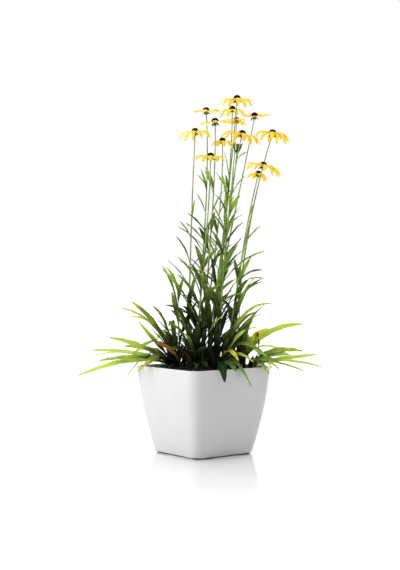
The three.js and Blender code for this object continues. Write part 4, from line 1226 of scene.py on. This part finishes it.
@material
def ray_finish(tree, name):
    """A soft petal: deeper at its root, streaked lengthwise, with a matte velvety face."""
    sizes = bpy.context.scene.daisy_flowers
    looks = {
        "Golden ray": (sizes.ray_root, sizes.ray_gold, sizes.ray_tip, (1, 0.93, 0.1)),
        "Bud ray": ((0.05, 0.1, 0.012), (0.1, 0.17, 0.018), (0.5, 0.46, 0.03), (0.3, 0.42, 0.03)),
    }
    rooted, golden, tipped, through = (vector(*shade) for shade in looks[name])
    across, along, upper = stored(tree, "blade")
    tone, _, own = stored(tree, "look")
    grain = mottling(tree, 90, 2600)[1]
    where = Flow(node(tree, "CombineXYZ", {0: across * 7, 1: along * 1.3, 2: own * 31}).outputs[0])
    streaks = noise(where, 1.6, 3).stepped(0.35, 0.65)
    out = along + (streaks - 0.5) * 0.22
    body = blend(out.stepped(0.4, 1), blend(out.stepped(0.05, 0.5), rooted, golden), tipped)
    toned = blend(tone * 0.5, blend(streaks * 0.2, body, 1.05 * tipped), rooted)
    faced = blend(upper, blend(0.25, toned, 0.92 * golden), toned)
    return {
        "Base Color": faced,
        "Roughness": grain.stepped(0, 1, 0.5, 0.68),
        "Specular IOR Level": 0.2,
        "Sheen Weight": 0.05,
        "Sheen Roughness": 0.5,
        "Normal": bumped(streaks * 0.6 + grain * 0.03, 0.00018),
        "Through": (blend(0.35, faced, through), sizes.light_through),
    }


@material
def disc_floret(tree):
    """Near-black florets with brown tips, and a few open ones dusted with pollen low on the cone."""
    dark = vector(*bpy.context.scene.daisy_flowers.cone_colour)
    along = stored(tree, "blade")[1]
    rise, _, own = stored(tree, "look")
    grain = mottling(tree, 160, 3200)[1]
    tip = along.stepped(0.55, 1)
    brown = blend(tip * 0.5, dark, (0.036, 0.015, 0.01))
    opened = rise.stepped(0.34, 0.12) * own.stepped(0.62, 0.8) * tip * 0.8
    pollen = blend(opened, brown, (0.34, 0.17, 0.02))
    return {
        "Base Color": blend(grain * 0.35, pollen, 0.6 * dark),
        "Roughness": grain.stepped(0, 1, 0.55, 0.85),
        "Specular IOR Level": 0.12,
        "Normal": bumped(grain, 0.00015),
    }


@material
def dead_finish(tree, name):
    """Dry tissue: dark up to a share of its length and blotched to a lighter colour beyond, with dark rib
    and margins."""
    dark, light, through, turns = {
        "Withered tissue": ((0.03, 0.012, 0.006), (0.56, 0.15, 0.018), (0.6, 0.2, 0.02), 0.42),
        "Dry stalk tissue": ((0.045, 0.012, 0.008), (0.72, 0.3, 0.03), (0.7, 0.3, 0.03), 0.5),
        "Yellowed tissue": ((0.66, 0.5, 0.03), (0.95, 0.8, 0.07), (1, 0.85, 0.09), 0),
        # Near-black: the old sheaths carry painted shade for the foot of the clump.
        "Old sheath": ((0.006, 0.007, 0.002), (0.03, 0.02, 0.008), (0.03, 0.025, 0.006), 0.6),
    }[name]
    across, along, _ = stored(tree, "blade")
    rib, veins, height = blade_veins(tree, 0.12, 4, 22)
    patches, grain = mottling(tree, 130, 1800)
    share = (along + patches * 0.3).stepped(turns, turns + 0.35)
    marks = rib.math("MAXIMUM", veins).math("MAXIMUM", abs(across).stepped(0.75, 1)) * 0.5
    return {
        "Base Color": blend(marks, blend(share, dark, light), 0.6 * vector(*dark)),
        "Roughness": grain.stepped(0, 1, 0.6, 0.85),
        "Specular IOR Level": 0.3,
        "Normal": bumped(height + grain * 0.3, 0.0003),
        "Through": (blend(share, dark, through), 0.22),
    }


@material
def white_glaze(tree):
    """Glossy moulded white plastic, with faint handling marks, dust on its rim and splashes low down."""
    sizes = bpy.context.scene.daisy_tub
    clean = vector(*sizes.colour)
    patches, grain = mottling(tree, 14, 2600)
    dust = settled_dust(tree, 0.25, sizes.splashes, 0.03)[0]
    return {
        "Base Color": blend(dust, blend(patches, 0.975 * clean, clean), (0.46, 0.42, 0.36)),
        "Roughness": patches.stepped(0, 1, sizes.roughness, sizes.roughness + 0.06) + dust * 0.4,
        "Specular IOR Level": 0.5,
        "Coat Weight": 0.25,
        "Coat Roughness": 0.06,
        "Normal": bumped(grain, 0.00001),
    }


@material
def soft_rubber(tree):
    patches, grain = mottling(tree, 120, 4000)
    dust = settled_dust(tree, 0.1, 0.35, 0.004)[0]
    black = blend(patches, (0.014, 0.014, 0.016), (0.03, 0.03, 0.032))
    return {
        "Base Color": blend(dust, black, (0.2, 0.19, 0.17)),
        "Roughness": grain.stepped(0, 1, 0.6, 0.8),
        "Normal": bumped(grain, 0.00008),
    }


@material
def potting_soil(tree):
    """Dark moist soil: clods from nearly black to brown, with a rough crumbly face."""
    moist = vector(*bpy.context.scene.daisy_soil.colour)
    tone = stored(tree, "look")[0]
    patches, grain = mottling(tree, 240, 1500)
    brown = blend((patches + tone) * 0.5, 0.45 * moist, 1.5 * moist)
    return {
        "Base Color": blend(grain, brown, 0.35 * moist),
        "Roughness": patches.stepped(0, 1, 0.78, 0.97),
        "Specular IOR Level": 0.25,
        "Normal": bumped(grain, 0.0008),
    }


@material
def pale_grit(tree):
    patches, grain = mottling(tree, 500, 2500)
    pale = blend(patches, (0.32, 0.29, 0.25), (0.55, 0.52, 0.47))
    return {
        "Base Color": blend(grain * 0.5, pale, (0.08, 0.06, 0.045)),
        "Roughness": 0.85,
        "Normal": bumped(grain, 0.0003),
    }


@material
def studio_floor(tree):
    """A pale floor that mirrors the tub close by, and less the further off."""
    pale = vector(*bpy.context.scene.daisy_stage.floor_colour)
    place = Flow(node(tree, "NewGeometry").outputs["Position"])
    away = Flow(node(tree, "VectorMath", {0: place}, operation="LENGTH").outputs["Value"])
    near = away.stepped(0.25, 0.7, 0.07, 0.5)
    far = away.stepped(1.4, 2.2, 0.5, 0.07)
    return {
        "Base Color": blend(mottling(tree, 2, 300)[0], 0.99 * pale, pale),
        "Roughness": near.math("MINIMUM", far),
        "Specular IOR Level": 0.5,
    }


# Stage


def studio_sky():
    """A white studio: bright overhead, behind the plant and low all round, and dim on the camera's side."""
    sizes = bpy.context.scene.daisy_stage
    world = bpy.data.worlds.new("Studio")
    bpy.context.scene.world = world
    world.use_nodes = True
    tree = world.node_tree
    tree.nodes.clear()
    towards = Flow(node(tree, "TexCoord").outputs["Generated"])
    behind = planted(vector(0, 1, 0)) / MILLIMETRE
    turned = node(tree, "VectorMath", {0: towards, 1: behind}, operation="DOT_PRODUCT").outputs["Value"]
    rise = towards.split()[2]
    sides = Flow(turned).stepped(-0.5, 0.8, sizes.sky_front, sizes.sky_back)
    low = rise.stepped(0.3, 0.04, 0, sizes.sky_low)
    light = blend(rise.stepped(0.35, 0.95), sides.math("MAXIMUM", low), [sizes.sky_top] * 3)
    lighting = node(tree, "Background", {"Color": light, "Strength": 1}).outputs[0]
    seen = node(tree, "Background", {"Color": (1, 1, 1), "Strength": 1}).outputs[0]
    camera_ray = node(tree, "LightPath").outputs["Is Camera Ray"]
    shown = node(tree, "MixShader", {0: Flow(camera_ray), 1: Flow(lighting), 2: Flow(seen)}).outputs[0]
    node(tree, "OutputWorld", {0: Flow(shown)})


def softbox(name, place, size, power):
    """A square soft light at a place in the plant's axes, aimed at the middle of the clump."""
    light = bpy.data.lights.new(name, "AREA")
    light.shape = "SQUARE"
    light.size = size
    light.energy = power
    lamp = new_object(name, light)
    lamp.location = planted(vector(*place))
    towards = planted(vector(0, 0, 300) - vector(*place))
    lamp.rotation_euler = Vector(towards).to_track_quat("-Z", "Y").to_euler()


def studio_camera():
    """The photograph's view: level, from the plant's front, with a small shift for its framing."""
    data = bpy.data.cameras.new("Camera")
    data.sensor_width = 36
    data.lens = FOCAL_PIXELS * data.sensor_width / FRAME_HEIGHT
    data.shift_x = (FRAME_WIDTH / 2 - AXIS_PIXEL[0]) / FRAME_HEIGHT
    data.shift_y = (AXIS_PIXEL[1] - FRAME_HEIGHT / 2) / FRAME_HEIGHT
    data.clip_end = 100
    camera = new_object("Camera", data)
    camera.location = planted(vector(0, -VIEW_DISTANCE, VIEW_HEIGHT))
    camera.rotation_euler = (math.pi / 2, 0, PLANT_TURN * DEGREE)
    bpy.context.scene.camera = camera


# Settings


def setting(kind, **limits):
    """A maker of settings of one kind."""
    return lambda name, description, default: kind(
        name=name, description=description, default=default, **limits
    )


colour = setting(bpy.props.FloatVectorProperty, subtype="COLOR", size=3, min=0, max=1)
length = setting(bpy.props.FloatProperty, unit="LENGTH", min=0)
share = setting(bpy.props.FloatProperty, subtype="FACTOR", min=0, max=1)
number = setting(bpy.props.IntProperty, min=0)
brightness = setting(bpy.props.FloatProperty, min=0)
power = setting(bpy.props.FloatProperty, unit="POWER", min=0)


class TubSettings(bpy.types.PropertyGroup):
    """The moulded tub."""

    colour: colour("Colour", "Colour of the white plastic", (0.62, 0.615, 0.625))
    roughness: share("Roughness", "Roughness of the clean gloss", 0.1)
    splashes: share("Splashes", "How much dried splash there is near the floor", 0.12)


class SoilSettings(bpy.types.PropertyGroup):
    """The soil in the tub."""

    colour: colour("Colour", "Middle colour of the moist soil", (0.022, 0.014, 0.009))
    crumbs: number("Crumbs", "How many loose crumbs are strewn", 900)
    crumb_size: length("Crumb size", "Half the width of a large crumb", 0.0026)
    grit_share: share("Grit", "How many of the small crumbs are pale grit", 0.06)


class LeafSettings(bpy.types.PropertyGroup):
    """Leaves and stalks."""

    # The dark and light ends of each green: a leaf's tone picks between them, partly at random and partly as
    # painted shade low in the middle and painted light up and outside.
    stem_dark: colour("Stem leaf, dark", "Stem leaves low in the clump", (0.018, 0.056, 0.004))
    stem_light: colour("Stem leaf, light", "Stem leaves up in the light", (0.46, 0.57, 0.1))
    basal_dark: colour("Basal leaf, dark", "Basal leaves in the middle", (0.016, 0.055, 0.005))
    basal_light: colour("Basal leaf, light", "Basal leaves at the outside", (0.66, 0.77, 0.16))
    yellow: colour("Yellowed", "Tissue that has begun to die back", (1.0, 0.84, 0.08))
    light_through: share("Light through", "Share of the light that comes through a leaf", 0.58)
    # Deep shade sets the strength of the painted shade in the foot of the clump.
    deep_shade: share("Deep shade", "How far the tissue in the foot of the clump darkens", 0.94)
    thickness: length("Thickness", "Thickness of a blade beside its rib", 0.00034)
    rib_depth: length("Rib depth", "How far the rib stands out below the blade", 0.0006)
    vein_relief: length("Vein relief", "How far the blade is pleated by its veins", 0.0001)
    edge_wave: share("Edge wave", "How far a margin waves, as a share of the blade's width", 0.055)
    hair_length: length("Hair length", "Length of the stem's stiff hairs", 0.0013)
    hairs_per_stem: number("Hairs", "How many hairs a stem has", 420)
    # The old leaf bases are near-black as painted shade in the foot of the clump.
    old_bases: number("Old leaf bases", "How many dark sheaths stand around the crowns", 190)


class FlowerSettings(bpy.types.PropertyGroup):
    """Rays, cones and bracts."""

    ray_root: colour("Ray root", "Rays where they spring from the head", (0.92, 0.46, 0.008))
    ray_gold: colour("Ray gold", "Rays in their middle", (1.0, 0.84, 0.04))
    ray_tip: colour("Ray tip", "Rays towards their tips", (1.0, 0.93, 0.11))
    cone_colour: colour("Cone", "The cone's unopened florets", (0.008, 0.004, 0.005))
    light_through: share("Light through", "Share of the light that comes through a ray", 0.5)
    ray_thickness: length("Ray thickness", "Thickness of a ray along its middle", 0.00036)
    ray_groove: length("Ray grooves", "Depth of the two grooves along a ray", 0.00028)
    ray_notch: share("Ray notches", "How deep a ray's tip is notched, as a share of its length", 0.045)
    ray_curl: share("Ray curl", "How far a ray's margins curl, as a share of its half width", 0.16)
    florets: number("Florets", "How many florets a large cone carries", 170)
    floret_length: length("Floret length", "How far a floret stands out of the cone", 0.0017)
    bracts: number("Bracts", "How many green bracts stand under a head", 12)
    bract_length: length("Bract length", "Length of a bract under a large head", 0.0064)


class StageSettings(bpy.types.PropertyGroup):
    """Floor and light."""

    floor_colour: colour("Floor", "Colour of the pale floor", (0.72, 0.72, 0.72))
    sky_front: brightness("Front", "Brightness of the studio on the camera's side", 0.08)
    sky_back: brightness("Back", "Brightness of the studio behind the plant", 1.4)
    sky_low: brightness("Low", "Brightness of the studio close above the floor", 1.15)
    sky_top: brightness("Overhead", "Brightness of the studio overhead", 1.45)
    key_power: power("Key light", "Power of the softbox at the left front", 40)
    rim_power: power("Rim light", "Power of each softbox behind the plant", 17)


# Operators


class DAISY_OT_stage(bpy.types.Operator):
    """Make the camera, the pale floor and the soft studio light"""

    bl_idname = "daisy.stage"
    bl_label = "Stage"

    def execute(self, context):
        sizes = context.scene.daisy_stage
        context.scene.view_settings.view_transform = "Standard"
        studio_camera()
        studio_sky()
        softbox("Key", (-2000, -1050, 1500), 1.1, sizes.key_power)
        softbox("Rim left", (-1200, 1300, 1300), 0.9, sizes.rim_power)
        softbox("Rim right", (1300, 1200, 1200), 0.9, sizes.rim_power)
        mesh = bpy.data.meshes.new("floor")
        corners = [(x * FLOOR_REACH, y * FLOOR_REACH, 0) for x, y in ((-1, -1), (1, -1), (1, 1), (-1, 1))]
        mesh.from_pydata(corners, [], [(0, 1, 2, 3)])
        mesh.materials.append(studio_floor())
        new_object("floor", mesh)
        return {"FINISHED"}


class DAISY_OT_tub(bpy.types.Operator):
    """Make the thin-walled tub and the pads that it stands on"""

    bl_idname = "daisy.tub"
    bl_label = "Tub"

    def execute(self, context):
        tub_shell()
        for quarter, corner in enumerate(("back_right", "back_left", "front_left", "front_right")):
            foot_pad(corner, quarter)
        return {"FINISHED"}


class DAISY_OT_soil(bpy.types.Operator):
    """Fill the tub with soil, and strew crumbs over it"""

    bl_idname = "daisy.soil"
    bl_label = "Soil"

    def execute(self, context):
        soil_bed()
        soil_crumbs()
        return {"FINISHED"}


class DAISY_OT_stems(bpy.types.Operator):
    """Grow the flowering stems, the bud's stem and the leafy shoots"""

    bl_idname = "daisy.stems"
    bl_label = "Stems"

    def execute(self, context):
        for index, spec in enumerate([*FLOWERS, BUD, *SHOOTS]):
            if "rays" in spec:
                grown_stem(f"stem_{index + 1}", f"flower_stem_{index + 1}", spec, 11 + index)
            else:
                number = index - len(FLOWERS)
                grown_stem(f"shoot_{number}", f"leafy_shoot_{number}", spec, 11 + index)
        return {"FINISHED"}


class DAISY_OT_heads(bpy.types.Operator):
    """Set the rays and the cone on every flowering stem, and the half-open rays on the bud"""

    bl_idname = "daisy.heads"
    bl_label = "Flower heads"

    def execute(self, context):
        for index, spec in enumerate([*FLOWERS, BUD]):
            ray_ring(spec, index + 1)
            if spec is not BUD:
                cone(spec, index + 1)
        return {"FINISHED"}


class DAISY_OT_tufts(bpy.types.Operator):
    """Grow the tufts of long basal leaves"""

    bl_idname = "daisy.tufts"
    bl_label = "Basal tufts"

    def execute(self, context):
        for spec in TUFTS:
            basal_tuft(spec)
        return {"FINISHED"}


class DAISY_OT_dead_leaves(bpy.types.Operator):
    """Make the withered leaf, the dry stalk, the yellow leaf and the old leaf bases"""

    bl_idname = "daisy.dead_leaves"
    bl_label = "Dead leaves"

    def execute(self, context):
        skins = (
            ("Withered tissue", "withered", 2.6),
            ("Dry stalk tissue", "withered", 1.4),
            ("Yellowed tissue", "yellowed", 1.3),
        )
        for index, (spec, (tissue, slot, crumple)) in enumerate(zip(DEAD_LEAVES, skins)):
            dead_leaf(spec, dead_finish(tissue), crumple, Dice(40 + index))
        old_leaf_bases()
        return {"FINISHED"}


class DAISY_PT_pieces(bpy.types.Panel):
    """Lists the pieces and their settings"""

    bl_idname = "DAISY_PT_pieces"
    bl_label = "Potted daisy"
    bl_space_type = "VIEW_3D"
    bl_region_type = "UI"
    bl_category = "Daisy"

    def draw(self, context):
        for operator in OPERATORS:
            self.layout.operator(operator.bl_idname)
        for name, settings in SETTINGS.items():
            box = self.layout.box()
            box.label(text=settings.__doc__)
            for key in settings.__annotations__:
                box.prop(getattr(context.scene, name), key)


SETTINGS = {
    "daisy_tub": TubSettings,
    "daisy_soil": SoilSettings,
    "daisy_leaves": LeafSettings,
    "daisy_flowers": FlowerSettings,
    "daisy_stage": StageSettings,
}
OPERATORS = (
    DAISY_OT_stage,
    DAISY_OT_tub,
    DAISY_OT_soil,
    DAISY_OT_stems,
    DAISY_OT_heads,
    DAISY_OT_tufts,
    DAISY_OT_dead_leaves,
)


def register():
    for kind in (*SETTINGS.values(), *OPERATORS, DAISY_PT_pieces):
        bpy.utils.register_class(kind)
    for name, settings in SETTINGS.items():
        setattr(bpy.types.Scene, name, bpy.props.PointerProperty(type=settings))


def unregister():
    for name in SETTINGS:
        delattr(bpy.types.Scene, name)
    for kind in (DAISY_PT_pieces, *reversed(OPERATORS), *reversed(SETTINGS.values())):
        bpy.utils.unregister_class(kind)


def main():
    register()
    bpy.ops.daisy.stage()
    bpy.ops.daisy.tub()
    bpy.ops.daisy.soil()
    bpy.ops.daisy.stems()
    bpy.ops.daisy.heads()
    bpy.ops.daisy.tufts()
    bpy.ops.daisy.dead_leaves()


if __name__ == "__main__":
    main()
